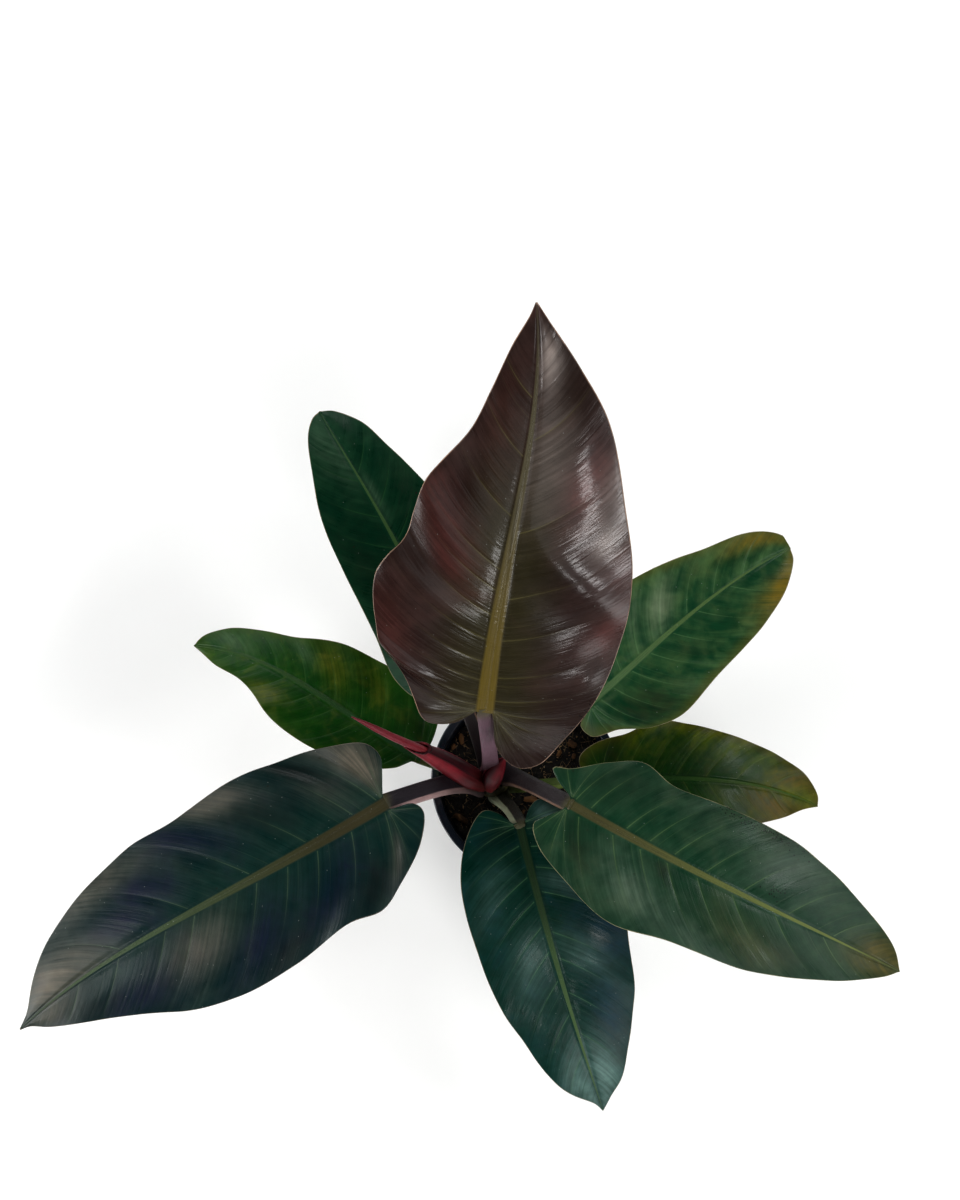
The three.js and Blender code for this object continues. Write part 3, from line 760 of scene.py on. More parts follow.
LEAVES = (
    Leaf(
        "leaf_1",
        foot=(-2, 7, -8), root=(-7, 34, 140), tip=(19, 228, 280), leave=(100, 84), arrive=(100, 64),
        stalk_width=10, rib_half_width=5.5, arch=13.9, bow=-6, bow_peak=0.75, fold=10, curl=15,
        left=((0, 5), (-10, 19), (-10, 34), (7, 43), (18, 49), (33, 62), (60, 71), (80, 72.5), (93, 67),
            (104, 59.5), (121, 56), (141, 51.5), (152, 45.5), (173, 32), (197, 23), (221, 13), (236, 3)),
        left_veins=(
            0.07, 0.14, 0.2, 0.255, 0.302, 0.362, 0.422, 0.479, 0.536, 0.593, 0.637, 0.729, 0.82, 0.9
        ),
        right=((0, 5), (-28, 11), (-40, 25), (-36, 38), (-10, 51), (22, 64), (62, 72), (108, 69), (148, 56),
            (184, 41), (210, 22), (230, 7)),
        right_veins=(0.09, 0.17, 0.24, 0.31, 0.378, 0.447, 0.54, 0.628, 0.745, 0.868),
        left_lean=(0.4, 1.1), right_lean=(0.33, 1.05), blade=MAROON, stalk=MAUVE_STALK,
        swells=(
            on(Side.LEFT, (0.5, 0.66, 0.024, 0.34, 1.6), (0.46, 0.95, 0.035, 0.35, 3.0),
                (0.535, 0.95, 0.03, 0.35, -3.0), (0.62, 0.9, 0.04, 0.35, 2.0),
                (0.305, 0.78, 0.02, 0.3, 3.0), (0.25, 0.9, 0.035, 0.4, -4.0), (0.14, 0.9, 0.04, 0.5, 2.0))
            + on(Side.RIGHT, (0.66, 0.42, 0.05, 0.6, 3.2, -0.24), (0.56, 0.5, 0.05, 0.4, -0.6, -0.24),
                (0.72, 1.0, 0.13, 0.3, -2.6), (0.41, 0.78, 0.03, 0.14, 1.5), (0.47, 0.9, 0.05, 0.3, -2.0),
                (0.2, 0.9, 0.07, 0.4, -3.0), (0.955, 0.62, 0.03, 0.4, 1.6), (0.9, 0.7, 0.03, 0.4, -1.2))
        ),
        patches={
            Tone.FLUSH: (
                on(Side.LEFT, (0.63, 0.7, 0.05, 0.35, 0.7), (0.57, 0.5, 0.03, 0.3, 0.5),
                    (0.36, 0.85, 0.09, 0.25, 0.6), (0.84, 0.6, 0.09, 0.5, 0.3))
                + on(Side.RIGHT, (0.76, 0.7, 0.05, 0.3, 0.8), (0.5, 0.85, 0.04, 0.25, 0.7),
                    (0.6, 0.95, 0.06, 0.3, 0.4))
            ),
            Tone.BLOOM: on(Side.RIGHT, (0.66, 0.84, 0.025, 0.16, 0.7), (0.84, 0.2, 0.08, 0.35, 0.3),
                (0.94, 0.42, 0.025, 0.35, 1.1), (0.72, 0.95, 0.04, 0.35, 0.4)),
            Tone.PAINTED_SHADE: (
                on(Side.LEFT, (0.7, 0.5, 0.04, 0.3, 0.4), (0.53, 0.8, 0.03, 0.3, 0.4))
                + on(Side.RIGHT, (0.56, 0.57, 0.06, 0.4, 0.45), (0.66, 0.3, 0.05, 0.3, 0.35))
            ),
            Tone.PITTED: on(Side.RIGHT, (0.28, 0.98, 0.1, 0.1, 0.8)),
        },
    ),
    Leaf(
        "leaf_2",
        foot=(-9.5, -1, -11), root=(-70, -18, 78), tip=(-307, -161, 45), leave=(176, 62), arrive=(200, 38),
        stalk_width=13, rib_half_width=5, arch=18, bow=-6.5, bow_peak=0.7, fold=10, curl=20,
        left=((0, 5), (-14, 9), (-17, 17), (-6, 33), (17, 49), (33, 57), (54, 54), (95, 60), (136, 60),
            (168, 53), (200, 39), (233, 25), (260, 12), (272, 3)),
        left_veins=(0.06, 0.12, 0.17, 0.228, 0.32, 0.413, 0.49, 0.564, 0.692, 0.745, 0.83, 0.9),
        right=((0, 5), (-5, 15), (-11, 28), (-7, 40), (15, 51), (45, 58), (84, 63), (124, 57), (160, 57),
            (199, 47), (227, 35), (252, 19), (268, 5)),
        right_veins=(0.07, 0.13, 0.19, 0.26, 0.342, 0.464, 0.609, 0.736, 0.851),
        left_lean=(0.4, 1.2), right_lean=(0.65, 1.5), blade=BLUE_BLACK, stalk=PURPLE_STALK,
        swells=(
            on(Side.LEFT, (0.33, 1.0, 0.05, 0.5, -2.5), (0.22, 0.5, 0.03, 0.3, 1.2),
                (0.5, 1.0, 0.07, 0.5, 2.0))
            + on(Side.RIGHT, (0.22, 0.6, 0.03, 0.4, 2.0), (0.29, 0.7, 0.03, 0.4, -2.0),
                (0.38, 0.8, 0.04, 0.5, -1.5), (0.48, 0.8, 0.05, 0.5, 1.6), (0.64, 0.9, 0.06, 0.5, -2.0))
        ),
        patches={
            Tone.FLUSH: (
                on(Side.LEFT, (0.37, 0.5, 0.06, 0.4, 0.8), (0.54, 0.6, 0.05, 0.4, 0.8),
                    (0.76, 0.7, 0.07, 0.35, 0.9))
                + on(Side.RIGHT, (0.8, 0.3, 0.05, 0.25, 0.8), (0.57, 0.7, 0.05, 0.35, 0.9),
                    (0.72, 0.45, 0.04, 0.25, 0.8))
            ),
            Tone.BLOOM: (
                on(Side.LEFT, (0.67, 0.35, 0.06, 0.3, 0.45), (0.21, 0.6, 0.03, 0.3, 0.35),
                    (0.95, 0.4, 0.05, 0.6, 0.5))
                + on(Side.RIGHT, (0.16, 0.6, 0.07, 0.5, 0.95), (0.33, 0.35, 0.05, 0.3, 0.2),
                    (0.45, 0.95, 0.05, 0.25, 0.7), (0.72, 0.92, 0.08, 0.2, 0.5),
                    (0.92, 0.5, 0.06, 0.6, 0.85))
            ),
            Tone.PAINTED_SHADE: (
                on(Side.LEFT, (0.46, 0.85, 0.06, 0.3, 0.6), (0.85, 0.7, 0.07, 0.4, 0.5),
                    (0.28, 0.7, 0.04, 0.35, 0.7))
                + on(Side.RIGHT, (0.45, 0.45, 0.05, 0.35, 0.5), (0.3, 0.75, 0.035, 0.35, 1.0))
            ),
        },
    ),
    Leaf(
        "leaf_3",
        foot=(8, 5, -10), root=(46, -18, 86), tip=(263, -125, 48), leave=(-24, 72), arrive=(-30, 50),
        stalk_width=11, rib_half_width=4.5, arch=18, bow=-3, bow_peak=0.4, fold=8, curl=18,
        left=((0, 4), (-13, 10), (-18, 15), (-8, 20), (10, 35), (30, 46), (55, 42), (95, 46), (142, 45),
            (175, 38), (208, 25), (235, 12)),
        left_veins=(0.1, 0.17, 0.23, 0.283, 0.376, 0.445, 0.514, 0.6, 0.691, 0.79, 0.88),
        right=((0, 4), (-6, 13), (-12, 22), (-3, 33), (22, 44), (54, 53), (92, 46), (143, 41), (180, 31),
            (214, 18), (236, 7)),
        right_veins=(0.09, 0.16, 0.22, 0.29, 0.394, 0.465, 0.539, 0.62, 0.701, 0.79, 0.88),
        left_lean=(0.45, 1.1), right_lean=(0.6, 1.7), blade=FRONT_GREEN, stalk=GREY_STALK,
        swells=(
            on(Side.LEFT, (0.33, 0.95, 0.05, 0.45, -2.0), (0.08, 0.8, 0.05, 0.4, 2.0),
                (0.7, 0.6, 0.04, 0.4, -1.2))
            + on(Side.RIGHT, (0.36, 0.95, 0.06, 0.4, -1.6), (0.12, 0.7, 0.06, 0.4, -2.0),
                (0.52, 0.4, 0.05, 0.3, 0.8))
        ),
        patches={
            Tone.FLUSH: (
                on(Side.LEFT, (0.96, 0.5, 0.05, 0.8, 0.7))
                + on(Side.RIGHT, (0.68, 0.6, 0.08, 0.4, 0.25), (0.96, 0.5, 0.05, 0.8, 0.7))
            ),
            Tone.BLOOM: (
                on(Side.LEFT, (0.7, 0.65, 0.05, 0.3, 0.5))
                + on(Side.RIGHT, (0.42, 0.45, 0.07, 0.35, 0.35), (0.52, 0.75, 0.06, 0.3, 0.2))
            ),
            Tone.PAINTED_SHADE: (
                on(Side.LEFT, (0.62, 0.95, 0.06, 0.2, 0.5), (0.27, 0.5, 0.07, 0.4, 0.45))
                + on(Side.RIGHT, (0.28, 0.3, 0.06, 0.3, 0.6), (0.52, 0.15, 0.03, 0.2, 0.6),
                    (0.76, 0.55, 0.08, 0.35, 0.4))
            ),
            Tone.PITTED: on(Side.LEFT, (0.57, 0.92, 0.13, 0.12, 1.2), (0.73, 0.2, 0.04, 0.15, 0.7)),
        },
    ),
    Leaf(
        "leaf_4",
        foot=(4, -9.5, -22), root=(16, -30, 54), tip=(75.5, -225, -22), leave=(295, 74), arrive=(290, 58),
        stalk_width=10, rib_half_width=4, arch=20, bow=-3, bow_peak=0.45, fold=10, curl=18,
        left=((0, 4), (-8, 10), (-11, 18), (2, 33), (32, 48), (69, 54), (97, 50), (126, 46), (162, 34),
            (196, 18), (208, 8)),
        left_veins=(0.12, 0.2, 0.28, 0.363, 0.454, 0.59, 0.67, 0.763, 0.86),
        right=((0, 4), (-9, 13), (-12, 22), (1, 36), (27, 47), (74, 48), (110, 44), (141, 36), (171, 28),
            (195, 16), (209, 4)),
        right_veins=(0.1, 0.16, 0.22, 0.296, 0.401, 0.48, 0.558, 0.63, 0.709, 0.8, 0.89),
        left_lean=(0.2, 2.4), right_lean=(0.35, 1.9), blade=HANGING_GREEN, stalk=OLIVE_STALK,
        swells=(
            on(Side.LEFT, (0.13, 0.8, 0.05, 0.5, 4.0), (0.4, 0.3, 0.05, 0.3, 0.8),
                (0.64, 0.35, 0.04, 0.3, 0.9))
            + on(Side.RIGHT, (0.55, 0.5, 0.05, 0.4, 1.0))
        ),
        patches={
            Tone.FLUSH: on(Side.LEFT, (0.75, 0.6, 0.1, 0.4, 0.5), (0.5, 0.7, 0.08, 0.4, 0.6)),
            Tone.BLOOM: (
                on(Side.LEFT, (0.4, 0.3, 0.03, 0.3, 0.4), (0.62, 0.3, 0.05, 0.3, 0.35),
                    (0.93, 0.5, 0.07, 0.6, 0.95), (0.13, 0.7, 0.05, 0.4, 0.7))
                + on(Side.RIGHT, (0.6, 0.3, 0.08, 0.3, 0.3), (0.35, 0.5, 0.05, 0.3, 0.2),
                    (0.93, 0.5, 0.07, 0.6, 0.95))
            ),
            Tone.PAINTED_SHADE: (
                on(Side.LEFT, (0.25, 0.3, 0.07, 0.5, 0.5))
                + on(Side.RIGHT, (0.22, 0.3, 0.07, 0.5, 0.6))
            ),
        },
    ),
    Leaf(
        "leaf_5",
        foot=(-3.5, 8.5, -27), root=(-31, 74, 62), tip=(-117, 238.7, 105), leave=(108, 60),
        arrive=(116, 44), stalk_width=9, rib_half_width=3.5, arch=14, bow=-5, bow_peak=0.4, fold=10,
        curl=15,
        left=((0, 4), (-14, 11), (-16, 24), (2, 37), (41, 39), (93, 39), (128, 35), (159, 24), (181, 14),
            (189, 6)),
        left_veins=(0.1, 0.18, 0.25, 0.32, 0.41, 0.5, 0.59, 0.68, 0.77, 0.86),
        right=((0, 4), (-8, 5), (-7, 14), (8, 25), (39, 37), (78, 42), (113, 37), (147, 28), (172, 20),
            (187, 8)),
        right_veins=(0.08, 0.15, 0.22, 0.3, 0.39, 0.48, 0.57, 0.67, 0.77, 0.87),
        blade=BACK_GREEN, stalk=GREY_STALK,
        swells=(
            on(Side.LEFT, (0.45, 1.0, 0.1, 0.5, 2.0))
            + on(Side.RIGHT, (0.55, 1.0, 0.1, 0.5, -2.0))
        ),
        patches={
            Tone.BLOOM: (
                on(Side.LEFT, (0.92, 0.4, 0.07, 0.6, 0.5))
                + on(Side.RIGHT, (0.8, 0.05, 0.06, 0.1, 0.6))
            ),
            Tone.PAINTED_SHADE: (
                on(Side.LEFT, (0.6, 0.6, 0.12, 0.4, 0.5))
                + on(Side.RIGHT, (0.7, 0.6, 0.1, 0.4, 0.4))
            ),
        },
    ),
    Leaf(
        "leaf_6",
        foot=(7, 6.5, -31), root=(63, 48, 55), tip=(197, 149, 88), leave=(36, 60), arrive=(38, 40),
        stalk_width=9, rib_half_width=3.5, arch=12, bow=5.5, bow_peak=0.62, fold=12, curl=15,
        left=((0, 4), (-5, 9), (2, 22), (25, 37), (56, 45), (89, 40), (125, 29), (151, 23), (168, 13),
            (173, 5)),
        left_veins=(0.1, 0.17, 0.24, 0.32, 0.41, 0.5, 0.6, 0.7, 0.8, 0.89),
        right=((0, 4), (-12, 8), (-10, 19), (6, 26), (23, 39), (43, 46), (78, 42), (125, 35), (155, 22),
            (169, 8)),
        right_veins=(0.08, 0.16, 0.24, 0.31, 0.39, 0.48, 0.57, 0.67, 0.77, 0.87),
        blade=SIDE_GREEN, stalk=GREEN_STALK,
        swells=(
            on(Side.LEFT, (0.42, 0.95, 0.05, 0.5, 2.5), (0.58, 0.5, 0.04, 0.4, -1.2))
            + on(Side.RIGHT, (0.45, 0.9, 0.07, 0.5, -2.0), (0.6, 0.4, 0.04, 0.3, 0.9))
        ),
        patches={
            Tone.FLUSH: (
                on(Side.LEFT, (0.88, 0.75, 0.09, 0.25, 0.7))
                + on(Side.RIGHT, (0.88, 0.85, 0.1, 0.25, 0.8))
            ),
            Tone.BLOOM: on(Side.LEFT, (0.6, 0.4, 0.05, 0.35, 0.75), (0.5, 0.45, 0.03, 0.35, 0.3)),
            Tone.PAINTED_SHADE: (
                on(Side.LEFT, (0.7, 0.6, 0.04, 0.3, 0.4))
                + on(Side.RIGHT, (0.38, 0.6, 0.13, 0.5, 0.85), (0.62, 0.4, 0.04, 0.4, 0.4))
            ),
        },
    ),
    Leaf(
        "leaf_7",
        foot=(-9, 3, -35), root=(-51, 14, 22), tip=(-220, 98, 0), leave=(166, 66), arrive=(162, 34),
        stalk_width=8, rib_half_width=3.2, arch=14, bow=-10, bow_peak=0.65, fold=10, curl=15,
        left=((0, 4), (5, 5), (12, 14), (32, 26), (72, 34), (103, 32), (126, 23), (143, 17), (168, 12),
            (186, 3)),
        left_veins=(0.09, 0.16, 0.24, 0.33, 0.42, 0.52, 0.61, 0.71, 0.81, 0.9),
        right=((0, 4), (-1, 16), (5, 35), (25, 45), (55, 43), (90, 39), (120, 27), (148, 21), (168, 16),
            (183, 9), (188, 4)),
        right_veins=(0.08, 0.15, 0.22, 0.3, 0.39, 0.48, 0.58, 0.68, 0.78, 0.88),
        blade=LOW_GREEN, stalk=GREEN_STALK,
        swells=(
            on(Side.LEFT, (0.6, 1.0, 0.06, 0.5, 2.0))
            + on(Side.RIGHT, (0.3, 0.9, 0.06, 0.5, 2.5), (0.5, 0.5, 0.03, 0.4, 1.0))
        ),
        patches={
            Tone.FLUSH: (
                on(Side.LEFT, (0.68, 0.7, 0.06, 0.3, 0.8))
                + on(Side.RIGHT, (0.57, 0.55, 0.05, 0.35, 0.7), (0.42, 0.6, 0.04, 0.3, 0.5))
            ),
            Tone.BLOOM: on(Side.RIGHT, (0.9, 0.5, 0.06, 0.6, 0.5), (0.66, 0.7, 0.03, 0.3, 0.4)),
            Tone.PAINTED_SHADE: (
                on(Side.LEFT, (0.4, 0.5, 0.08, 0.5, 0.4))
                + on(Side.RIGHT, (0.25, 0.5, 0.08, 0.5, 0.5))
            ),
        },
    ),
    Leaf(
        "leaf_8",
        foot=(9.5, -1, -37), root=(75, 2, 15), tip=(234, -18, -10), leave=(-14, 52), arrive=(8, 26),
        stalk_width=8, rib_half_width=3, arch=16, bow=8, bow_peak=0.6, fold=10, curl=15,
        left=((0, 4), (-12, 3), (-15, 12), (-4, 24), (18, 31), (37, 40), (60, 38), (90, 32), (125, 24),
            (148, 16), (160, 7)),
        left_veins=(0.08, 0.15, 0.23, 0.31, 0.39, 0.48, 0.57, 0.67, 0.77, 0.88),
        right=((0, 4), (-4, 10), (6, 20), (28, 29), (60, 34), (96, 31), (130, 20), (154, 5)),
        right_veins=(0.1, 0.18, 0.26, 0.35, 0.44, 0.54, 0.64, 0.75, 0.86),
        blade=OLIVE, stalk=GREEN_STALK,
        swells=(
            on(Side.LEFT, (0.36, 0.9, 0.05, 0.5, 2.0))
            + on(Side.RIGHT, (0.6, 0.9, 0.08, 0.5, 1.5))
        ),
        patches={
            Tone.FLUSH: (
                on(Side.LEFT, (0.9, 0.5, 0.07, 0.5, 0.5))
                + on(Side.RIGHT, (0.83, 0.5, 0.09, 0.5, 0.7))
            ),
            Tone.BLOOM: on(Side.RIGHT, (0.67, 0.2, 0.05, 0.3, 0.5)),
            Tone.PAINTED_SHADE: (
                on(Side.LEFT, (0.25, 0.5, 0.1, 0.7, 0.7), (0.62, 0.05, 0.08, 0.12, 0.4))
                + on(Side.RIGHT, (0.3, 0.5, 0.15, 0.7, 0.6))
            ),
        },
    ),
)


def heading(turn: float, rise: float) -> Array:
    """A direction from its compass turn and its rise, in degrees."""
    a, b = math.radians(turn), math.radians(rise)
    return np.array([math.cos(a) * math.cos(b), math.sin(a) * math.cos(b), math.sin(b)])


@dataclass
class FlatHalf:
    """One half of a blade laid out flat, in rows along its veins and columns from midrib to margin.

    The shares are the rows' places along the margin, foot is where they leave the midrib and reach is how
    far they run. U is the place along a row, from 0 at the midrib's edge to 1 at the margin, and across_rib
    is the place across the midrib, from 0 in its middle to 1 at its edge.
    """

    side: Side
    shares: Array
    veins: Array
    margin_length: float
    foot: Array
    taper: Array
    rib: Array
    reach: Array
    flat: Array
    u: Array
    across_rib: Array

    def felt(self, spots: Sequence[Spot]) -> Array:
        """What the spots of this half do together, for each row and column."""
        mine = [spot for spot in spots if spot.side is self.side]
        return sum((spot.felt(self.shares[:, None], self.u) for spot in mine), np.zeros_like(self.u))

    def off_rib(self, gap: Array) -> Array:
        """A distance in shares of the margin as millimetres, and nowhere near on the midrib."""
        pace = np.linalg.norm(np.gradient(self.flat, self.shares, axis=0), axis=-1)
        return np.where(self.across_rib < 1, FAR, gap[:, None] * pace)


@dataclass
class Blade:
    """One leaf blade: a thin sheet bent along its midrib, with its veins, its rounded rim and its keel."""

    leaf: Leaf
    thickness: float = 0.6
    rim_thickness: float = 0.3
    tip_half_width: float = 0.5
    curl_reach: float = 60.0
    lobe_softness: float = 6.0
    lobe_spread: float = 0.03
    rib_taper: float = 0.9
    rib_share: float = 0.8
    rib_tip_half_width: float = 0.6
    keel_share: float = 0.6
    keel_tip: float = 0.6
    rib_ridge: float = 0.7
    vein_sweep: float = 0.12
    vein_ridge: float = 0.5
    vein_half_width: float = 0.8
    minor_ridge: float = 0.07
    quilt: float = 0.012
    trough: float = 0.25
    rim_reach: float = 2.5
    ripple_height: float = 0.55
    ripple_counts: tuple[float, float] = (3.7, 8.3)
    stem_depth_share: float = 0.8
    row_gap: float = 0.0085
    crease_rows: tuple[float, ...] = (-0.005, -0.0022, 0.0, 0.0022, 0.005)
    rib_columns: int = 4
    blade_columns: int = 26
    rim_columns: tuple[float, ...] = (1.0, 0.35, 0.0)
    least_row_gap: float = 0.0018
    halves_apart: float = 400.0

    def rise(self, t: Array, peak: float) -> Array:
        """Rises from 0 to 1 at the peak and falls to 0 at the tip. Behind the stalk it runs straight on."""
        rising = 1 if peak < 0.5 else peak / (1 - peak)
        falling = (1 - peak) / peak if peak < 0.5 else 1
        top = peak**rising * (1 - peak) ** falling
        inside = np.clip(t, 0, 1)
        behind = t / top if rising == 1 else np.zeros_like(t)
        return np.where(t < 0, behind, inside**rising * (1 - inside) ** falling / top)

    def vein_foot(self, end: Array, lean: tuple[float, float], shares: Array) -> Array:
        """How far along the midrib the veins start that end at the given places on the margin.

        Args:
            end: the ends, as distances along the midrib and away from it.
            lean: how far a vein runs towards the tip for each millimetre outwards, by the stalk, and how much
                more it does so at the tip.
            shares: the shares of the margin where they end.

        Returns:
            Distances along the midrib. The veins of the lobe all start close together beside the stalk.
        """
        length = self.leaf.length
        straight = (end[:, 0] - lean[0] * end[:, 1]) / (1 + lean[1] * end[:, 1] / length)
        soft = (straight + np.hypot(straight, self.lobe_softness)) / 2
        soft = np.maximum.accumulate(soft - soft[0])
        return length * (self.lobe_spread * shares + (1 - self.lobe_spread) * soft / soft[-1])

    def midrib(self, t: Array) -> Array:
        """The midrib's places at shares of the chord, in the blade's own frame."""
        leaf = self.leaf
        return np.stack(
            [leaf.length * t, leaf.bow * self.rise(t, leaf.bow_peak), leaf.arch * self.rise(t, 0.5)], axis=-1
        )

    def bend(self, along: Array, left: Array, above: Array) -> Array:
        """Points of the bent blade from their places on the flat one, in crown coordinates.

        Args:
            along: distance along the midrib from the stalk.
            left: distance to the left of the midrib.
            above: height over the sheet.

        Returns:
            An array of points.
        """
        leaf, step = self.leaf, 1e-3
        t = np.clip(along / leaf.length, -1, 1)
        tangent = self.midrib(np.minimum(t + step, 1)) - self.midrib(t - step)
        tangent /= np.linalg.norm(tangent, axis=-1, keepdims=True)
        across = np.cross([0, 0, 1], tangent)
        across /= np.linalg.norm(across, axis=-1, keepdims=True)
        up = np.cross(tangent, across)
        fold = math.radians(leaf.fold) * (1 - np.maximum(t, 0))
        curl = math.radians(leaf.curl) / self.curl_reach
        slope = fold - curl * np.abs(left)
        out = (np.sin(fold) - np.sin(slope)) / curl
        lift = (np.cos(slope) - np.cos(fold)) / curl
        tilt = np.where(np.abs(left) < 1e-6, 0, slope)
        sideways = np.sign(left) * (out - above * np.sin(tilt))
        local = (
            self.midrib(t) + across * sideways[..., None] + up * (lift + above * np.cos(tilt))[..., None]
        )
        chord = np.subtract(leaf.tip, leaf.root) / leaf.length
        level = np.cross([0, 0, 1], chord)
        level /= np.linalg.norm(level)
        return local @ np.stack([chord, level, np.cross(chord, level)]) + np.array(leaf.root)

    def shares(self) -> Array:
        """The rows of the mesh: close together on each vein's crease and evenly spread between."""
        veins = (*self.leaf.left_veins, *self.leaf.right_veins)
        creases = [vein + offset for vein in veins for offset in self.crease_rows]
        plain = np.arange(0, 1, self.row_gap)
        rows = np.unique(np.round([*creases, *plain, 1.0], 5))
        rows = rows[(rows >= 0) & (rows <= 1)]
        keep = [rows[0]]
        wanted = {round(vein, 5) for vein in veins} | {1.0}
        for row in rows[1:]:
            if row - keep[-1] >= self.least_row_gap:
                keep.append(row)
            elif float(row) in wanted:
                keep[-1] = row
        return np.array(keep)

    def columns(self, reach: Array) -> Array:
        """The columns from the midrib to the margin, as shares of each vein's reach, closer by the rim."""
        spread = np.linspace(0, 1, self.blade_columns + 1)[:-1]
        rim = np.array(self.rim_columns)
        most = 0.01 * np.arange(len(rim), 0, -1)
        last = 1 - np.minimum(rim / reach[:, None], most)
        last[:, -1] = 1
        return np.hstack([spread * (last[:, :1] - 1e-3), last])

    def lay_out(self, side: Side, shares: Array) -> FlatHalf:
        """Lays one half out flat. Past the midrib each row is a vein's own curve to the margin."""
        leaf, is_left = self.leaf, side is Side.LEFT
        margin = Line([*(leaf.left if is_left else leaf.right), (leaf.length, self.tip_half_width)])
        end = margin.at(shares)
        foot = self.vein_foot(end, leaf.left_lean if is_left else leaf.right_lean, shares)
        taper = np.maximum(1 - foot / leaf.length, 0) ** self.rib_taper
        rib = self.rib_tip_half_width + (leaf.rib_half_width - self.rib_tip_half_width) * taper
        edge = np.stack([foot, np.minimum(rib, self.rib_share * end[:, 1])], axis=-1)
        run = end - edge
        reach = np.maximum(np.linalg.norm(run, axis=1), 1e-3)
        sweep = self.vein_sweep * ease(shares, 0, 0.3)
        control = (edge + end) / 2 + sweep[:, None] * np.stack([-run[:, 1], run[:, 0]], axis=-1)
        u = self.columns(reach)
        curve = (
            ((1 - u) ** 2)[..., None] * edge[:, None]
            + (2 * u * (1 - u))[..., None] * control[:, None]
            + (u**2)[..., None] * end[:, None]
        )
        inner = np.linspace(0, 1, self.rib_columns + 1)[:-1]
        on_rib = np.zeros((len(foot), len(inner)))
        ribs = np.stack([on_rib + foot[:, None], edge[:, 1:] * inner], axis=-1)
        flat = np.concatenate([ribs, curve], axis=1)
        across_rib = flat[..., 1] / np.maximum(edge[:, 1:], 1e-3)
        veins = np.array(leaf.left_veins if is_left else leaf.right_veins)
        u = np.concatenate([on_rib, u], axis=1)
        return FlatHalf(side, shares, veins, margin.length, foot, taper, rib, reach, flat, u, across_rib)

    def ripples(self, half: FlatHalf) -> Array:
        """The fine waves of the rim, which are stronger outwards and fade by the stalk."""
        start = 2 * math.pi * (self.leaf.blade.seed + (0.0 if half.side is Side.LEFT else 2.1))
        few, many = (2 * math.pi * count * half.shares for count in self.ripple_counts)
        wave = self.ripple_height * self.leaf.ripple * (np.sin(few + start) + 0.6 * np.sin(many + 2 * start))
        return (wave * ease(half.shares, 0, 0.1))[:, None] * half.u**2

    def half(self, side: Side, shares: Array) -> dict[str, Array]:
        """One half of the blade, from the middle of the midrib to the margin.

        Args:
            side: which half.
            shares: the rows.

        Returns:
            For each row and column: the flat place, the heights of both faces and what the material reads.
        """
        leaf, half = self.leaf, self.lay_out(side, shares)
        u, across_rib = half.u, half.across_rib
        # Where each row lies between its two neighbouring veins.
        bounds = np.concatenate([[0], half.veins, [1]])
        slot = np.clip(np.searchsorted(bounds, shares, side="right") - 1, 0, len(bounds) - 2)
        low, high = bounds[slot], bounds[slot + 1]
        phase = (shares - low) / (high - low)
        vein = half.off_rib(np.min(np.abs(shares[:, None] - half.veins), axis=1))
        thirds = np.array([1 / 3, 2 / 3])
        minor = half.off_rib(np.min(np.abs(phase[:, None] - thirds), axis=1) * (high - low))
        # The sheet swells between its veins, and the midrib stands proud of it with a groove on each side.
        pillow = self.quilt * np.abs(np.sin(math.pi * phase)) ** 0.65 * (high - low) * half.margin_length
        fine = self.minor_ridge * np.abs(np.sin(3 * math.pi * phase))
        envelope = ease(u, 0.0, 0.12) * (1 - ease(u, 0.45, 1.0) * 0.85)
        height = (pillow + fine)[:, None] * envelope + half.felt(leaf.swells) + self.ripples(half)
        width = (half.rib / leaf.rib_half_width)[:, None]
        dome = np.sqrt(np.clip(1 - across_rib**2, 0, 1))
        trough = self.trough * np.exp(-(((across_rib - 1.25) / 0.3) ** 2)) * width
        to_edge = (1 - u) * half.reach[:, None]
        rim = ease(to_edge, 0.0, self.rim_reach)
        thick = self.rim_thickness + (self.thickness - self.rim_thickness) * rim
        keel_root = self.keel_share * leaf.stalk_width * self.stem_depth_share
        keel = self.keel_tip + (keel_root - self.keel_tip) * half.taper[:, None]
        ridge = self.vein_ridge * np.exp(-((vein / self.vein_half_width) ** 2)) * (1 - ease(u, 0.1, 0.95))
        along_margin = shares * half.margin_length + (0.0 if side is Side.LEFT else self.halves_apart)
        return {
            **{tone.value: half.felt(leaf.patches.get(tone, ())) for tone in Tone},
            "minor": minor,
            "flat": half.flat * np.array([1, side.value]),
            "top": height + self.rib_ridge * width * dome - trough,
            "bottom": height - thick - np.where(across_rib < 1, keel * dome, 0) - ridge,
            "vein": vein,
            "rib": across_rib,
            "out": u * half.reach[:, None],
            "edge": to_edge,
            "along": np.broadcast_to((half.foot / leaf.length)[:, None], u.shape),
            "across": np.broadcast_to(along_margin[:, None], u.shape),
        }

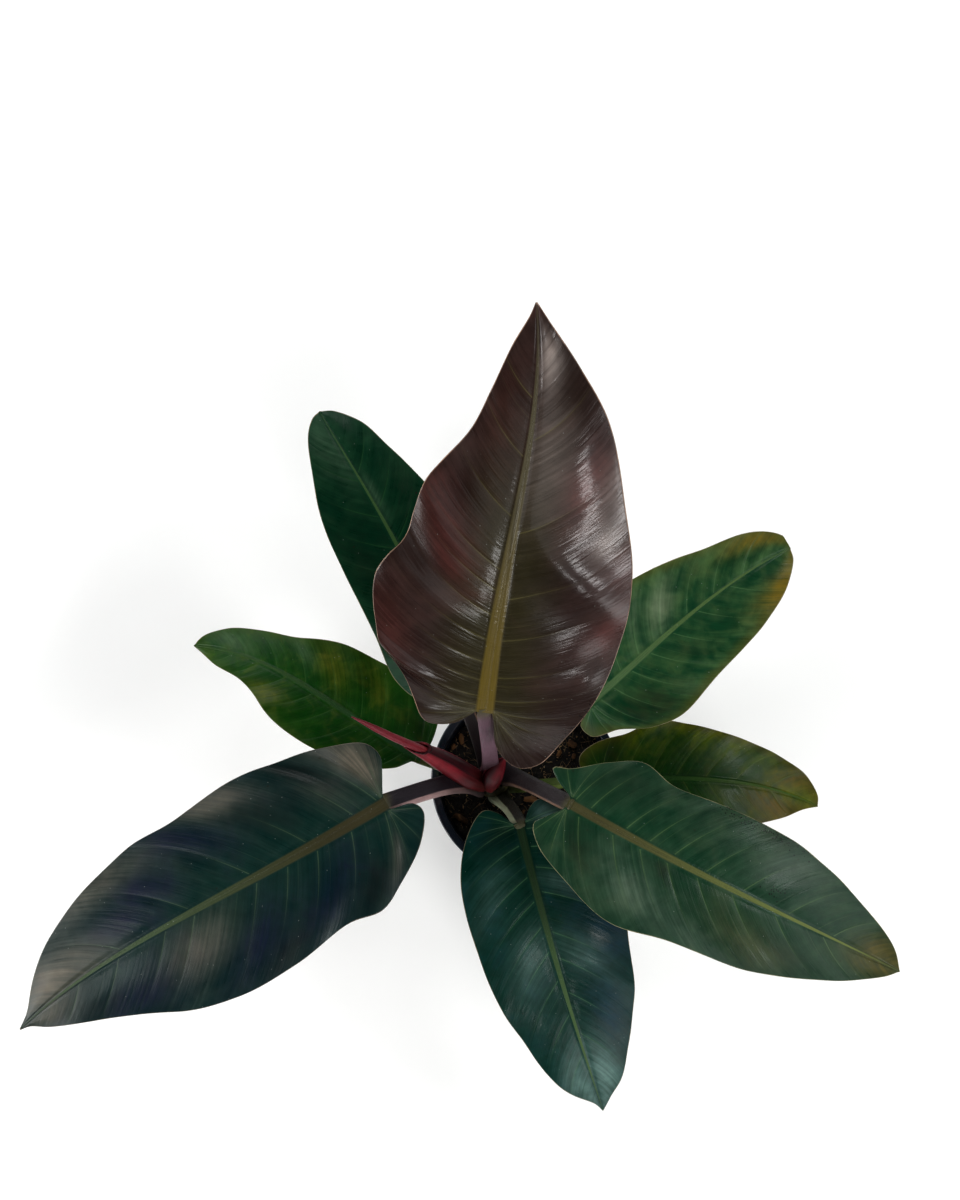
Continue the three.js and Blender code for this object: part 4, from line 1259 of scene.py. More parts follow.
    def build(self) -> Item:
        """Makes the blade as one closed mesh and dresses it."""
        shares = self.shares()
        left, right = (self.half(side, shares) for side in Side)
        whole = {key: np.concatenate([left[key][:, ::-1], right[key][:, 1:]], axis=1) for key in left}
        along, aside = whole["flat"][..., 0], whole["flat"][..., 1]
        middle = (whole["top"] + whole["bottom"]) / 2
        for column in (0, -1):
            whole["top"][:, column] = middle[:, column]
        upper = self.bend(along, aside, whole["top"])
        lower = self.bend(along, aside, whole["bottom"])[:, 1:-1]
        rows, columns = along.shape
        top = np.arange(rows * columns).reshape(rows, columns)
        inside = rows * columns + np.arange(rows * (columns - 2)).reshape(rows, columns - 2)
        bottom = np.concatenate([top[:, :1], inside, top[:, -1:]], axis=1)
        faces = [*self.quads(top), *self.quads(bottom[:, ::-1])]
        for row, flip in ((0, False), (-1, True)):
            ring = np.stack([top[row], bottom[row]])
            quads = self.quads(ring[::-1] if flip else ring)
            faces += [[v for i, v in enumerate(quad) if v not in quad[:i]] for quad in quads]
        points = np.concatenate([upper.reshape(-1, 3), lower.reshape(-1, 3)]) + np.array(CROWN)
        faces = [face for face in faces if len(face) > 2]
        name = self.leaf.name + "_blade"
        item = piece(name, points, faces)
        for key in ("vein", "minor", "rib", "out", "edge", "along", "across", *(tone.value for tone in Tone)):
            mark(item, key, np.concatenate([whole[key].ravel(), whole[key][:, 1:-1].ravel()]))
        mark(item, "under", np.repeat([0.0, 1.0], [top.size, inside.size]))
        finish = self.leaf.blade
        return settle(item, finish.material(name), finish.slot, name)

    @staticmethod
    def quads(grid: Array) -> list[list[int]]:
        """The faces of a grid of vertex numbers."""
        corners = (grid[:-1, :-1], grid[1:, :-1], grid[1:, 1:], grid[:-1, 1:])
        return np.stack([c.ravel() for c in corners], axis=1).tolist()


class MeshTree(Graph):
    """Geometry nodes with named inputs, which give one real mesh in its material."""

    def __init__(self, name: str, inputs: dict[str, str | int | float]) -> None:
        """Args:
            name: the tree's name.
            inputs: its inputs, each by the kind of its socket or by a number's usual value.
        """
        super().__init__(bpy.data.node_groups.new(name, "GeometryNodeTree"))
        sockets = self.tree.interface
        kinds = {int: "Int", float: "Float"}
        for label, value in {**inputs, "Material": "Material"}.items():
            kind = kinds.get(type(value), value)
            socket = sockets.new_socket(label, in_out="INPUT", socket_type=f"NodeSocket{kind}")
            if kind is not value:
                socket.default_value = value
        sockets.new_socket("Mesh", in_out="OUTPUT", socket_type="NodeSocketGeometry")
        self.given = self.node("NodeGroupInput").outputs

    def give(self, mesh: Socket) -> None:
        """Ends the tree: the mesh is made real and takes the material."""
        real = self.take("GeometryNodeRealizeInstances", {"Geometry": mesh})
        material = self.given["Material"]
        dressed = self.take("GeometryNodeSetMaterial", {"Geometry": real, "Material": material})
        self.node("NodeGroupOutput", {0: dressed})

    def run(self, item: Item, values: dict[str, object]) -> Item:
        """Runs the tree on an object and keeps its result as a plain mesh.

        Args:
            item: the object that the tree reads.
            values: the tree's inputs, by name.

        Returns:
            The same object.
        """
        modifier = item.modifiers.new(self.tree.name, "NODES")
        modifier.node_group = self.tree
        names = {s.name: s.identifier for s in self.tree.interface.items_tree if s.in_out == "INPUT"}
        for name, value in values.items():
            modifier[names[name]] = value
        return baked(item)


class PathTree(MeshTree):
    """Sweeps a D-shaped section along a path and stores where each vertex lies on it."""

    def __init__(self) -> None:
        """Builds the tree, with its sizes as inputs."""
        sizes = {"Flat top": 0.5, "Belly": 0.8, "Channel": 0.06, "Sides": 40}
        super().__init__("stalk_sweep", {"Path": "Geometry", **sizes})
        curve = self.take("GeometryNodeMeshToCurve", {"Mesh": self.given["Path"]})
        curve = self.take("GeometryNodeSetCurveNormal", {"Curve": curve}, mode="Z_UP")
        width = self.take("GeometryNodeInputNamedAttribute", {"Name": "half_width"}, data_type="FLOAT")
        sweep = {"Curve": curve, "Profile Curve": self.section(), "Scale": width, "Fill Caps": True}
        swept = self.take("GeometryNodeCurveToMesh", sweep)
        self.give(self.take("GeometryNodeSetShadeSmooth", {"Geometry": swept}))

    def section(self) -> Socket:
        """A circle pressed into a D: nearly flat above, with a shallow channel, and round below."""
        given = self.given
        ring = self.take("GeometryNodeCurvePrimitiveCircle", {"Resolution": given["Sides"], "Radius": 1.0})
        spot = self.node("ShaderNodeSeparateXYZ", {0: self.take("GeometryNodeInputPosition")}).outputs
        # The swept section's own Y points down, so the section is drawn upside down.
        rise = self.times(spot[1], -1.0)
        above = self.maths("GREATER_THAN", rise, 0.0)
        size = self.maths("ABSOLUTE", rise)
        dip = self.times(given["Channel"], self.maths("POWER", size, 6.0))
        upper = self.minus(self.times(self.maths("POWER", size, 0.45), given["Flat top"]), dip)
        lower = self.times(self.minus(above, 1.0), size, given["Belly"])
        height = self.plus(self.times(above, upper), lower)
        place = self.join(spot[0], self.times(height, -1.0))
        for name, value in (("turn", rise), ("aside", spot[0])):
            stored = {"Geometry": ring, "Name": name, "Value": value}
            ring = self.take("GeometryNodeStoreNamedAttribute", stored, data_type="FLOAT", domain="POINT")
        return self.take("GeometryNodeSetPosition", {"Geometry": ring, "Position": place})


@dataclass
class Stalk:
    """One leaf stalk, wide where it clasps the stem and D-shaped up to the blade."""

    leaf: Leaf
    tree: PathTree
    steps: int = 56
    foot_spread: float = 0.65
    flat_top: float = 0.46
    belly: float = 0.8
    overlap: float = 5.0
    sunk: float = 0.3

    def path(self) -> tuple[Array, Array]:
        """The stalk's middle line, and the shares of the way at its points."""
        leaf = self.leaf
        half = leaf.stalk_width / 2
        foot, root = np.array(leaf.foot, float), np.array(leaf.root, float)
        arrival = heading(*leaf.arrive)
        top = root + arrival * self.overlap - np.array([0, 0, half * self.flat_top + self.sunk])
        handle = np.linalg.norm(top - foot) / 3
        t = np.linspace(0, 1, self.steps)[:, None]
        knots = (foot, foot + heading(*leaf.leave) * handle, top - arrival * handle, top)
        weights = ((1 - t) ** 3, 3 * t * (1 - t) ** 2, 3 * t**2 * (1 - t), t**3)
        return sum(w * k for w, k in zip(weights, knots)), t.ravel()

    def build(self) -> Item:
        """Sweeps the section along the path and dresses the result."""
        leaf = self.leaf
        points, along = self.path()
        name = leaf.name + "_stalk"
        mesh = bpy.data.meshes.new(name)
        places = ((points + np.array(CROWN)) * MM).tolist()
        mesh.from_pydata(places, [(i, i + 1) for i in range(len(places) - 1)], [])
        item = shown(name, mesh)
        spread = 1 + self.foot_spread * (1 - along) ** 4
        closing = 1 - 0.35 * ease(along, 0.96, 1.0)
        mark(item, "half_width", leaf.stalk_width / 2 * spread * closing * MM)
        mark(item, "along", along)
        material = leaf.stalk.material(name)
        values = {"Flat top": self.flat_top, "Belly": self.belly, "Material": material}
        self.tree.run(item, values)
        return settle(item, material, leaf.stalk.slot, name)


@dataclass
class RolledSheet:
    """A red sheath or a rolled leaf: a sheet wound round a path, whose free edge laps over the other."""

    name: str
    route: tuple[Point, ...]
    widths: tuple[float, ...]
    depth_share: float
    finish: SheathFinish
    ending: Sheet = Sheet.POINTED
    seam: float = 100.0
    lap: float = 70.0
    gap: float = 0.9
    thickness: float = 0.6
    keel: float = 0.14
    lip: float = 0.24
    mouth: float = 125.0
    rows: int = 90
    sides: int = 56

    def build(self) -> Item:
        """Winds the sheet, gives it its thickness and dresses it."""
        line = Line(self.route)
        t = np.linspace(0, 1, self.rows)
        turn = np.linspace(0, 1, self.sides + 1)
        angle = math.radians(self.seam) + turn * math.radians(360 + self.lap)
        # A lip is cut back on one side, so that the mouth looks to that side.
        lipped = self.ending is Sheet.LIPPED
        shorten = self.lip * (0.5 + 0.5 * np.cos(angle - math.radians(self.mouth))) * lipped
        reach = t[:, None] * (1 - shorten * t[:, None] ** 6)
        reach = np.broadcast_to(reach, (self.rows, len(angle)))
        centre = line.at(reach)
        step = 0.004
        tangent = line.at(np.minimum(reach + step, 1)) - line.at(np.maximum(reach - step, 0))
        tangent /= np.linalg.norm(tangent, axis=-1, keepdims=True)
        run = np.subtract(self.route[-1], self.route[0])
        level = np.array([-run[1], run[0], 0]) / math.hypot(run[0], run[1])
        across = level - tangent * (tangent @ level)[..., None]
        across /= np.linalg.norm(across, axis=-1, keepdims=True)
        up = np.cross(tangent, across)
        half = between(self.widths, reach) / 2
        crest = 1 + self.keel * np.maximum(np.cos(angle + math.radians(90)), 0) ** 4
        flare = 1 + 0.04 * lipped * ease(t, 0.9, 1.0)[:, None]
        radius = half * crest * flare + self.gap * (turn - 0.5) * ease(1 - t, 0.0, 0.12)[:, None]
        points = (
            centre
            + across * (radius * np.cos(angle))[..., None]
            + up * (radius * self.depth_share * np.sin(angle))[..., None]
        )
        rows, columns = points.shape[:2]
        grid = np.arange(rows * columns).reshape(rows, columns)
        places = (points.reshape(-1, 3) + np.array(CROWN)) * MM
        mesh = bpy.data.meshes.new(self.name)
        mesh.from_pydata(places.tolist(), [], Blade.quads(grid[:, ::-1]))
        mesh.polygons.foreach_set("use_smooth", [True] * len(mesh.polygons))
        item = shown(self.name, mesh)
        mark(item, "turn", np.broadcast_to(turn, (rows, columns)))
        mark(item, "along", np.broadcast_to(t[:, None], (rows, columns)))
        solid = item.modifiers.new("thickness", "SOLIDIFY")
        solid.thickness = self.thickness * MM
        solid.offset = -1
        solid.use_even_offset = False
        baked(item)
        return settle(item, self.finish.material(self.name), self.finish.slot, self.name)


@dataclass
class Lathe:
    """A body of revolution about an upright axis."""

    name: str
    profile: Sequence[tuple[float, float]]
    centre: tuple[float, float] = (0.0, 0.0)
    segments: int = 144
    warp: Callable[[Array, Array, Array], Array] | None = None

    def build(self) -> Item:
        """Turns the profile, which runs from the axis up the outside and back to the axis."""
        radii = np.array([p[0] for p in self.profile[1:-1]])
        heights = np.array([p[1] for p in self.profile[1:-1]])
        angle = np.arange(self.segments) * 2 * math.pi / self.segments
        r, a = np.meshgrid(radii, angle, indexing="ij")
        z = np.broadcast_to(heights[:, None], r.shape)
        if self.warp is not None:
            r = r * self.warp(r, a, z)
        ring = np.stack([r * np.cos(a), r * np.sin(a), z], axis=-1).reshape(-1, 3)
        ends = [[0, 0, self.profile[0][1]], [0, 0, self.profile[-1][1]]]
        points = np.vstack([ring, ends]) + np.array([*self.centre, 0])
        grid = np.arange(r.size).reshape(r.shape)
        grid = np.concatenate([grid, grid[:, :1]], axis=1)
        faces = Blade.quads(grid)
        faces += [[r.size, b, a] for a, b in zip(grid[0, :-1], grid[0, 1:])]
        faces += [[r.size + 1, a, b] for a, b in zip(grid[-1, :-1], grid[-1, 1:])]
        return piece(self.name, points, faces)


def fillet(corner: tuple[float, float], radius: float, start: float, end: float, steps: int = 6) -> list:
    """Points of an arc about a centre, between two angles in degrees."""
    angles = np.radians(np.linspace(start, end, steps))
    return [(corner[0] + radius * math.cos(a), corner[1] + radius * math.sin(a)) for a in angles]


@dataclass
class NurseryPot:
    """The black pot: a thin tapered wall, a deep rolled rim, a flat floor and drain holes."""

    height: float = 126.0
    base_radius: float = 50.0
    neck_radius: float = 65.0
    rim_radius: float = 70.0
    rim_depth: float = 12.0
    wall: float = 1.5
    floor: float = 2.0
    rounding: float = 1.5
    drain_holes: int = 8
    drain_hole_radius: float = 4.0
    drain_circle: float = 38.0
    drill_depth: float = 20.0
    sharp_from: float = 35.0
    finish: PlasticFinish = field(default_factory=PlasticFinish)

    def profile(self) -> list[tuple[float, float]]:
        """The section, from the underside's middle round the outside to the floor's middle."""
        neck = self.height - self.rim_depth
        soft, inside, foot = self.rounding, self.neck_radius - self.wall, self.base_radius - self.wall
        spread = self.neck_radius - self.base_radius
        bottom = fillet((self.base_radius - 2, 2), 2, -90, -6)
        wall = [(self.base_radius + spread * k / 8, 2 + (neck - 2) * k / 8) for k in range(1, 8)]
        shelf = [(self.neck_radius, neck - 0.6), (self.neck_radius + 0.6, neck)]
        skirt = fillet((self.rim_radius - 0.8, neck + 0.8), 0.8, -90, 0, 5)
        lip = fillet((self.rim_radius - soft, self.height - soft), soft, 0, 90)
        inner = fillet((inside + soft, self.height - soft), soft, 90, 180)
        cup = [(inside, neck), (foot + 0.4, self.floor + 3), (foot - 2, self.floor)]
        under = [(0, 0), (20, 0), (32, 0), (44, 0)]
        upper = [(44, self.floor), (32, self.floor), (0, self.floor)]
        return [*under, *bottom, *wall, *shelf, *skirt, *lip, *inner, *cup, *upper]

    def build(self) -> Item:
        """Turns the pot, drills its drain holes and dresses it."""
        item = Lathe("nursery_pot", self.profile(), segments=192).build()
        shell = bmesh.new()
        for i in range(self.drain_holes):
            angle = (i + 0.5) * 2 * math.pi / self.drain_holes
            way = Vector((math.cos(angle), math.sin(angle), 0))
            drill = {"radius1": self.drain_hole_radius * MM, "radius2": self.drain_hole_radius * MM}
            drill["matrix"] = Matrix.Translation(way * self.drain_circle * MM)
            bmesh.ops.create_cone(shell, cap_ends=True, segments=32, depth=self.drill_depth * MM, **drill)
        mesh = bpy.data.meshes.new("drills")
        shell.to_mesh(mesh)
        shell.free()
        drills = shown("drills", mesh)
        cut = item.modifiers.new("drain holes", "BOOLEAN")
        cut.object = drills
        baked(item)
        bpy.data.objects.remove(drills)
        item.data.polygons.foreach_set("use_smooth", [True] * len(item.data.polygons))
        item.data.set_sharp_from_angle(angle=math.radians(self.sharp_from))
        return settle(item, self.finish.material("pot_plastic"), "pot_plastic", "nursery_pot")


class ScatterTree(MeshTree):
    """Strews turned and scaled copies of a few small shapes over the upper side of a surface."""

    def __init__(self, name: str) -> None:
        """Args:
            name: the tree's name.
        """
        sizes = {"Density": 1e5, "Smallest": 0.5, "Largest": 1.5, "Tilt": 0.6, "Sunk": 0.0, "Seed": 1}
        super().__init__(name, {"Ground": "Geometry", "Shapes": "Collection", **sizes})
        given, tilt, seed = self.given, self.given["Tilt"], self.given["Seed"]
        upward = self.node("ShaderNodeSeparateXYZ", {0: self.take("GeometryNodeInputNormal")}).outputs[2]
        chosen = self.maths("GREATER_THAN", upward, 0.5)
        ground = {"Mesh": given["Ground"], "Selection": chosen, "Density": given["Density"], "Seed": seed}
        spots = self.take("GeometryNodeDistributePointsOnFaces", ground)
        source = {"Collection": given["Shapes"], "Separate Children": True, "Reset Children": True}
        shapes = self.take("GeometryNodeCollectionInfo", source)
        back = self.times(tilt, -1.0)
        turns = {0: self.join(back, back), 1: self.join(tilt, tilt, 2 * math.pi), 8: seed}
        spin = self.take("FunctionNodeRandomValue", turns, data_type="FLOAT_VECTOR")
        scales = {2: given["Smallest"], 3: given["Largest"], 8: seed}
        size = self.node("FunctionNodeRandomValue", scales, data_type="FLOAT").outputs[1]
        copies = {"Points": spots, "Instance": shapes, "Pick Instance": True, "Rotation": spin, "Scale": size}
        strewn = self.take("GeometryNodeInstanceOnPoints", copies)
        drop = self.join(0.0, 0.0, self.times(given["Sunk"], -1.0))
        lowered = {"Instances": strewn, "Translation": drop, "Local Space": False}
        self.give(self.take("GeometryNodeTranslateInstances", lowered))


@dataclass
class PottingMix:
    """The mix: a closed crumbly body, with crumbs, shreds of bark and fibres strewn on it."""

    surface: float = MIX_SURFACE
    top_radius: float = 62.1
    bottom_radius: float = 48.5
    bottom: float = 2.3
    relief: float = 1.6
    rings: int = 46
    segments: int = 150
    sunk: float = 0.25
    seed: int = 7
    body: MixFinish = MixFinish(rgb(10, 9, 9), rgb(28, 23, 20), rgb(64, 52, 42))
    crumb: MixFinish = MixFinish(rgb(13, 11, 11), rgb(38, 31, 26), rgb(86, 70, 54), grain=420.0)
    shred: MixFinish = MixFinish(rgb(112, 90, 66), rgb(176, 148, 112), rgb(220, 196, 160), grain=260.0)

    def relief_at(self, x: Array, y: Array) -> Array:
        """Bumps of the mix's surface at a place, never above its level."""
        rng = np.random.default_rng(self.seed)
        total = np.zeros_like(x)
        for size, share in ((14.0, 0.5), (6.0, 0.35), (2.6, 0.3)):
            for _ in range(7):
                turn, start = rng.uniform(0, 2 * math.pi, 2)
                across = x * math.cos(turn) + y * math.sin(turn)
                total += share / 7**0.5 * np.sin(across * 2 * math.pi / size + start)
        return self.relief * (np.tanh(total) - 1) / 2

    def build(self) -> list[Item]:
        """Builds the body and what is strewn on it."""
        radii = self.top_radius * np.linspace(1, 0, self.rings + 1)[:-1]
        profile = [(0, self.bottom), (self.bottom_radius, self.bottom)]
        profile += [(float(r), self.surface) for r in radii] + [(0, self.surface)]
        item = Lathe("potting_mix", profile, segments=self.segments).build()
        points = np.array([v.co for v in item.data.vertices]) / MM
        high = points[:, 2] > self.surface - 1
        points[high, 2] += self.relief_at(points[high, 0], points[high, 1])
        item.data.vertices.foreach_set("co", (points * MM).ravel())
        item.data.update()
        made = [settle(item, self.body.material("potting_mix"), "potting_mix", "potting_mix")]
        crumbs = self.shapes("crumb", 6, self.crumb_shape)
        fibres = self.shapes("fibre", 5, self.fibre_shape)
        shreds = self.shapes("shred", 5, self.shred_shape)
        tree = ScatterTree("mix_scatter")
        labels = ("Density", "Smallest", "Largest", "Tilt", "Seed")
        for name, kind, finish, *sizes in (
            ("mix_crumbs", crumbs, self.crumb, 1.4e5, 0.4, 1.5, 3.0, 3),
            ("mix_fibres", fibres, self.shred, 3.6e4, 0.5, 1.3, 0.25, 5),
            ("mix_shreds", shreds, self.shred, 3.2e4, 0.4, 1.25, 0.5, 9),
        ):
            strewn = shown(name, item.data.copy())
            material = finish.material(name)
            values = {"Shapes": kind, "Sunk": self.sunk * MM, "Material": material}
            tree.run(strewn, {**values, **dict(zip(labels, sizes))})
            made.append(settle(strewn, material, "potting_mix"))
        for group in (crumbs, fibres, shreds):
            for shape in list(group.objects):
                bpy.data.objects.remove(shape)
            bpy.data.collections.remove(group)
        return made

    def shapes(
        self, name: str, count: int, make: Callable[[np.random.Generator], tuple]
    ) -> bpy.types.Collection:
        """A hidden collection of a few different small shapes."""
        group = bpy.data.collections.new(name)
        rng = np.random.default_rng(self.seed + len(name))
        for i in range(count):
            points, faces = make(rng)
            shape = piece(f"{name}_{i}", points, faces, smooth=False)
            bpy.context.scene.collection.objects.unlink(shape)
            group.objects.link(shape)
        return group

    @staticmethod
    def crumb_shape(rng: np.random.Generator) -> tuple[Array, list]:
        """A crumb: an uneven ball of twenty faces, about a millimetre wide."""
        ball = bmesh.new()
        bmesh.ops.create_icosphere(ball, subdivisions=1, radius=0.7)
        points = np.array([v.co for v in ball.verts]) * rng.uniform(0.7, 1.3, 3)
        points *= rng.uniform(0.75, 1.25, (len(points), 1))
        faces = [[v.index for v in f.verts] for f in ball.faces]
        ball.free()
        return points, faces

    @staticmethod
    def fibre_shape(rng: np.random.Generator) -> tuple[Array, list]:
        """A fibre: a bent three-sided thread, five to nine millimetres long."""
        steps = 6
        t = np.linspace(-0.5, 0.5, steps)
        bend, length = rng.uniform(-0.4, 0.4, 2), rng.uniform(5, 9)
        height = 0.25 + 0.4 * np.cos(t * 5) + bend[1] * t
        middle = np.stack([t * length, bend[0] * length * (t**2), height], axis=1)
        angle = np.arange(3) * 2 * math.pi / 3
        girth = 0.16 * (1 - (2 * t) ** 4 * 0.6)
        ring = np.stack([np.zeros(3), np.cos(angle), np.sin(angle)], axis=1)
        points = (middle[:, None] + ring[None] * girth[:, None, None]).reshape(-1, 3)
        grid = np.arange(steps * 3).reshape(steps, 3)
        grid = np.concatenate([grid, grid[:, :1]], axis=1)
        return points, [*Blade.quads(grid), [0, 1, 2], [steps * 3 - 1, steps * 3 - 2, steps * 3 - 3]]

    @staticmethod
    def shred_shape(rng: np.random.Generator) -> tuple[Array, list]:
        """A shred of bark: a thin uneven slab, two to five millimetres long."""
        outline = np.array([(-1, -0.3), (-0.5, -0.6), (0.6, -0.5), (1, 0), (0.5, 0.55), (-0.7, 0.4)])
        outline = outline * rng.uniform(0.7, 1.3, outline.shape)
        outline = outline * [rng.uniform(1.2, 2.4), rng.uniform(0.5, 1.0)]
        low = np.column_stack([outline, rng.uniform(-0.1, 0.1, 6)])
        high = np.column_stack([outline * 0.85, 0.45 + rng.uniform(-0.15, 0.15, 6)])
        sides = [[i, (i + 1) % 6, 6 + (i + 1) % 6, 6 + i] for i in range(6)]
        return np.vstack([low, high]), [*sides, [6, 7, 8, 9, 10, 11], [5, 4, 3, 2, 1, 0]]


@dataclass
class BarkChips:
    """The larger scraps of bark on the mix: split slabs with torn ends."""

    thickness: float = 2.6
    corner: float = 0.3
    gap: float = 0.3
    seed: int = 19
    finish: MixFinish = MixFinish(
        rgb(66, 44, 26), rgb(122, 86, 50), rgb(172, 130, 82), grain=180.0, roughness=0.8
    )
    chips: tuple[tuple[float, ...], ...] = (
        (-48, 31, 9, 4, 96),
        (-54, 25, 5.5, 3, 70),
        (-48, -28, 13, 4.5, -31),
        (36, 27, 8, 5, -30),
        (37, 18, 5, 3, 75),
        (26, 20, 6, 3, 60),
        (4, -14, 11, 4.5, 0),
        (-2, -24, 6, 2.5, 50),
        (30, -36, 12, 5, 20),
        (-18, -45, 9, 4, -60),
        (8, 44, 10, 4, 140),
        (46, -10, 7, 4, 100),
    )

    def build(self) -> list[Item]:
        """Builds every chip where its solid lies."""
        material = self.finish.material("bark")
        return [self.chip(i + 1, chip, material) for i, chip in enumerate(self.chips)]

    def chip(self, number: int, sizes: tuple[float, ...], material: Material) -> Item:
        """One chip: a slab of long splinters, uneven above and below.

        Args:
            number: its number, from 1.
            sizes: its place on the mix, its length and width, and its turn in degrees.
            material: its bark.

        Returns:
            The chip, settled in its place.
        """
        x, y, length, width, turn = sizes
        rng = np.random.default_rng(self.seed + number)
        columns, rows = 22, 9
        u, v = np.meshgrid(np.linspace(-1, 1, columns), np.linspace(-1, 1, rows), indexing="ij")
        torn = 1 - 0.16 * rng.random(rows)[None, :] * np.abs(u) ** 3
        px = u * length / 2 * torn * (1 - 0.12 * np.abs(v) ** 3)
        waist = 1 - 0.35 * np.abs(u) ** 3 + 0.06 * np.sin(5 * u + number)
        py = v * width / 2 * waist
        splinter = 0.22 * rng.random(rows)[None, :] + 0.1 * rng.random((columns, rows))
        crown = self.thickness * (0.72 - 0.3 * np.abs(v) ** 2 - 0.2 * np.abs(u) ** 4) + splinter
        low = 0.15 * rng.random((columns, rows)) + 0.35 * np.abs(v) ** 2
        top = np.stack([px, py, crown], axis=-1).reshape(-1, 3)
        base = np.stack([px * 0.96, py * 0.94, low], axis=-1).reshape(-1, 3)
        grid = np.arange(columns * rows).reshape(columns, rows)
        under = grid + grid.size
        loop = np.concatenate([grid[:, 0], grid[-1, 1:], grid[-2::-1, -1], grid[0, -2:0:-1]])
        ring = np.stack([np.append(loop, loop[0]), np.append(loop, loop[0]) + grid.size])
        faces = [*Blade.quads(grid), *Blade.quads(under[:, ::-1]), *Blade.quads(ring[::-1])]
        spin = Matrix.Rotation(math.radians(turn), 3, "Z")
        points = np.vstack([top, base]) @ np.array(spin).T + np.array([x, y, MIX_SURFACE + self.gap])
        name = f"bark_chip_{number:02d}"
        return settle(piece(name, points, faces, smooth=False), material, "bark", name)


@dataclass
class Stem:
    """The short stem: ringed by the scars of lost leaves, mostly hidden by the stalks."""

    radius: float = 11.0
    top_radius: float = 7.0
    shoulder: float = 12.0
    root_depth: float = 26.0
    root_radius: float = 7.0
    scars: int = 4
    scar_height: float = 0.03
    finish: MixFinish = MixFinish(
        rgb(46, 44, 26), rgb(84, 82, 44), rgb(120, 104, 66), grain=240.0, roughness=0.6
    )

    def build(self) -> Item:
        """Turns the stem and dresses it."""
        neck = CROWN[2] - self.shoulder
        bottom = MIX_SURFACE - self.root_depth
        body = [
            (self.radius * (1 + self.scar_height * math.cos(self.scars * k * 2 * math.pi)),
             MIX_SURFACE + (neck - MIX_SURFACE) * k)
            for k in np.linspace(0, 1, 24)
        ]
        narrowing = self.top_radius - self.radius
        cap = [
            (self.radius + narrowing * k**2, neck + self.shoulder * 0.67 * k)
            for k in np.linspace(0.1, 1, 8)
        ]
        profile = [(0, bottom), (self.root_radius, bottom), *body, *cap, (0, CROWN[2])]
        item = Lathe("stem", profile, CROWN[:2], 72, self.uneven).build()
        return settle(item, self.finish.material("stem"), "stem_skin", "stem")

    @staticmethod
    def uneven(radius: Array, angle: Array, height: Array) -> Array:
        """A share that makes the round stem a little lumpy."""
        return 1 + 0.02 * np.sin(3 * angle + height / 7) + 0.015 * np.sin(7 * angle - height / 4)


@dataclass
class Plant:
    """Everything that grows: eight leaves, the new leaf in its sheath, the shut sheath and the stem."""

    tree: PathTree = field(default_factory=PathTree)

    def build(self) -> list[Item]:
        """Builds the plant, youngest leaf first."""
        made = [Stem().build()]
        for leaf in LEAVES:
            made += [Blade(leaf).build(), Stalk(leaf, self.tree).build()]
        made.append(
            RolledSheet(
                "new_leaf_rolled",
                route=((-38, 13, 44), (-50, 18, 60), (-66, 24, 78), (-91, 35, 102)),
                widths=(5.5, 5.5, 5, 4, 0.8),
                depth_share=0.95,
                finish=RED_LEAF,
                gap=0.5,
                keel=0.0,
            ).build()
        )
        made.append(
            RolledSheet(
                "new_leaf_sheath",
                route=((-7, -2, -3), (-17, 2, 15), (-34, 11, 38), (-50, 18, 60), (-59, 21.3, 71)),
                widths=(12, 16, 16, 14, 10, 6.5),
                depth_share=0.72,
                finish=RED_SHEATH,
                ending=Sheet.LIPPED,
                seam=22,
                gap=1.6,
            ).build()
        )
        made.append(
            RolledSheet(
                "bud_sheath",
                route=((-4, -6, -3), (-1, 1, 15), (4, 9, 29), (7.5, 14, 37)),
                widths=(8, 13, 13.5, 9.5, 1.5),
                depth_share=0.6,
                finish=RED_BUD,
                seam=-58,
                gap=1.5,
            ).build()
        )
        return made


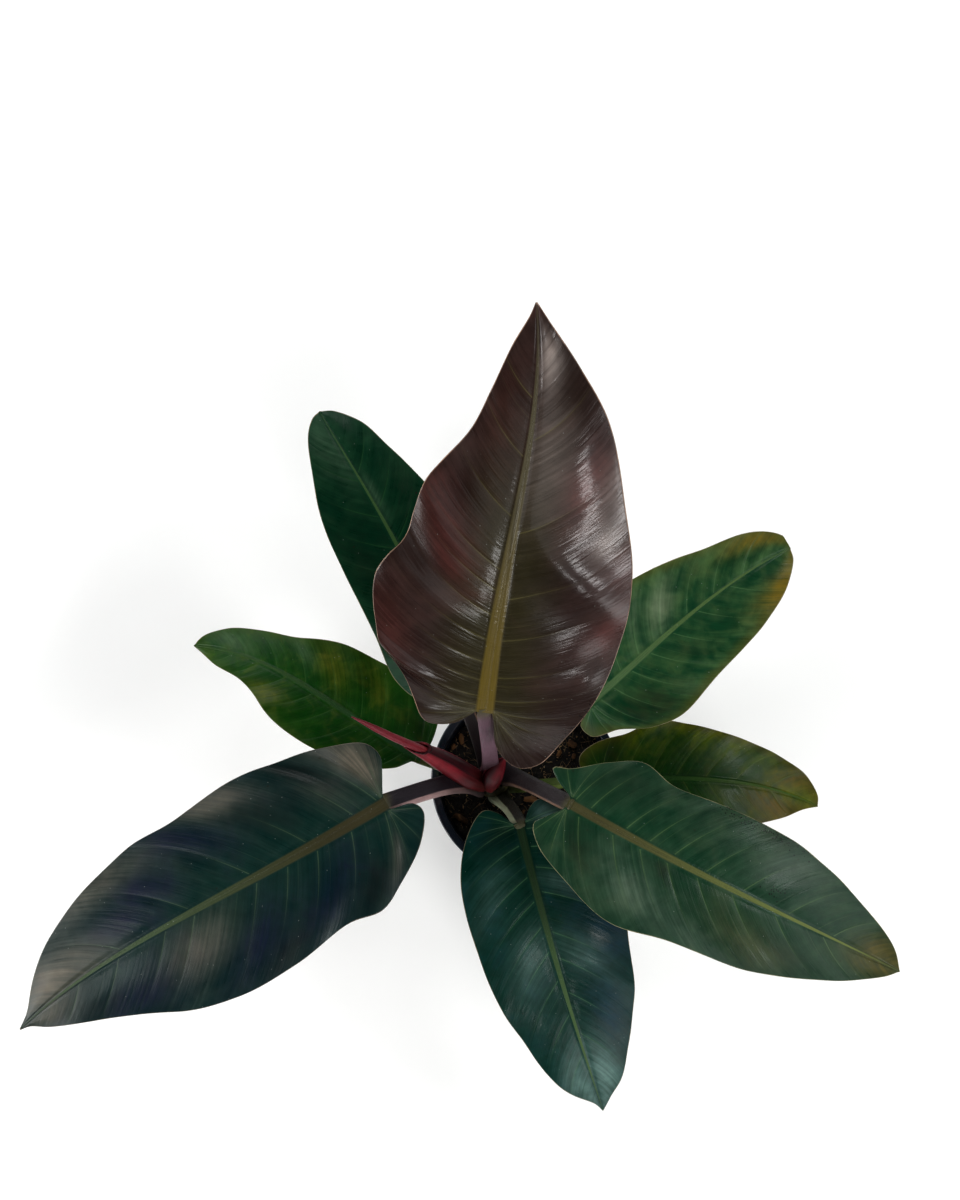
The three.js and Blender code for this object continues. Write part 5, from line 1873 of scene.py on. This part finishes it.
@dataclass
class Studio:
    """A pale floor, soft light from large lamps and the camera that looks down on the plant."""

    camera_place: Point = (-33.8, -39.4, 947.7)
    camera_rise: float = 78.0
    focal: float = 33.0
    sensor: float = 36.0
    floor_size: float = 3.8
    lamp_distance: float = 2.2
    contrast: float = 0.8
    lamps: tuple[tuple[str, float, float, tuple[float, float], float], ...] = (
        ("low_left_lamp", -76, 14, (1.8, 0.8), 36.0),
        ("low_right_lamp", 30, 14, (0.9, 0.8), 14.0),
        ("right_lamp", 76, 34, (1.7, 0.9), 18.0),
        ("front_lamp", 0, 50, (0.8, 1.2), 3.0),
        ("back_left_lamp", -137, 34, (1.7, 0.9), 14.0),
        ("back_lamp", 178, 38, (0.9, 1.3), 15.0),
        ("front_window", 3, 30, (0.3, 0.22), 4.5),
        ("right_window", 31, 44, (0.36, 0.3), 9.0),
        ("side_window", 95, 50, (0.4, 0.3), 7.0),
        ("left_window", -65, 40, (0.5, 0.4), 6.0),
    )

    def build(self) -> None:
        """Sets up the camera, the floor, the lamps and the surroundings."""
        self.camera()
        self.floor()
        for lamp in self.lamps:
            self.lamp(*lamp)
        self.world()

    def camera(self) -> None:
        """The camera, above the front of the plant."""
        data = bpy.data.cameras.new("camera")
        data.lens = self.focal
        data.sensor_width = self.sensor
        data.clip_start, data.clip_end = 0.01, 20
        item = bpy.data.objects.new("camera", data)
        item.location = Vector(self.camera_place) * MM
        item.rotation_euler = (math.radians(90 - self.camera_rise), 0, 0)
        bpy.context.scene.collection.objects.link(item)
        bpy.context.scene.camera = item

    def floor(self) -> None:
        """A pale, slightly uneven floor that the pot stands on."""
        steps = 24
        side = np.linspace(-0.5, 0.5, steps) * self.floor_size / MM
        x, y = np.meshgrid(side, side, indexing="ij")
        points = np.stack([x, y, np.full_like(x, -0.2)], axis=-1).reshape(-1, 3)
        mesh = bpy.data.meshes.new("floor")
        mesh.from_pydata((points * MM).tolist(), [], Blade.quads(np.arange(steps**2).reshape(steps, steps)))
        item = bpy.data.objects.new("floor", mesh)
        bpy.context.scene.collection.objects.link(item)
        s = Shader("floor_paper", Specular_IOR_Level=0.2)
        soft = s.noise(s.place(), 3, 3)
        mesh.materials.append(s.finish(s.mix(soft, rgb(244, 244, 243), rgb(250, 250, 249)), 0.8))

    def lamp(self, name: str, turn: float, rise: float, size: tuple[float, float], watts: float) -> None:
        """A large soft lamp that faces the plant.

        Args:
            name: its name.
            turn: how far it stands round to the right from the front, in degrees.
            rise: how high it stands over the horizon, in degrees.
            size: its width and height, in metres.
            watts: its power.
        """
        data = bpy.data.lights.new(name, "AREA")
        data.shape = "RECTANGLE"
        data.size, data.size_y = size
        data.energy = watts
        away = Vector(heading(turn - 90, rise)) * self.lamp_distance
        item = bpy.data.objects.new(name, data)
        item.location = away + Vector((0, 0, 0.2))
        item.rotation_mode = "QUATERNION"
        item.rotation_quaternion = (-away).to_track_quat("-Z", "Y")
        bpy.context.scene.collection.objects.link(item)

    def world(self) -> None:
        """Dim even surroundings that leave the shadows deep, behind which a pale backdrop shows."""
        world = bpy.data.worlds.new("surroundings")
        world.use_nodes = True
        sky = Graph(world.node_tree)
        sky.tree.nodes.clear()
        light = sky.take("ShaderNodeBackground", {"Color": (0.9, 0.95, 1.0), "Strength": 0.08})
        paper = sky.take("ShaderNodeBackground", {"Color": (0.94, 0.94, 0.94), "Strength": 1.0})
        seen = sky.node("ShaderNodeLightPath").outputs["Is Camera Ray"]
        both = sky.take("ShaderNodeMixShader", {0: seen, 1: light, 2: paper})
        sky.node("ShaderNodeOutputWorld", {"Surface": both})
        bpy.context.scene.world = world
        view = bpy.context.scene.view_settings
        view.view_transform = "Standard"
        view.gamma = self.contrast


def main() -> None:
    """Builds the studio, the pot with its mix, and the plant."""
    Studio().build()
    NurseryPot().build()
    PottingMix().build()
    BarkChips().build()
    made = Plant().build()
    log.info("plant: %d pieces", len(made))


if __name__ == "__main__":
    main()
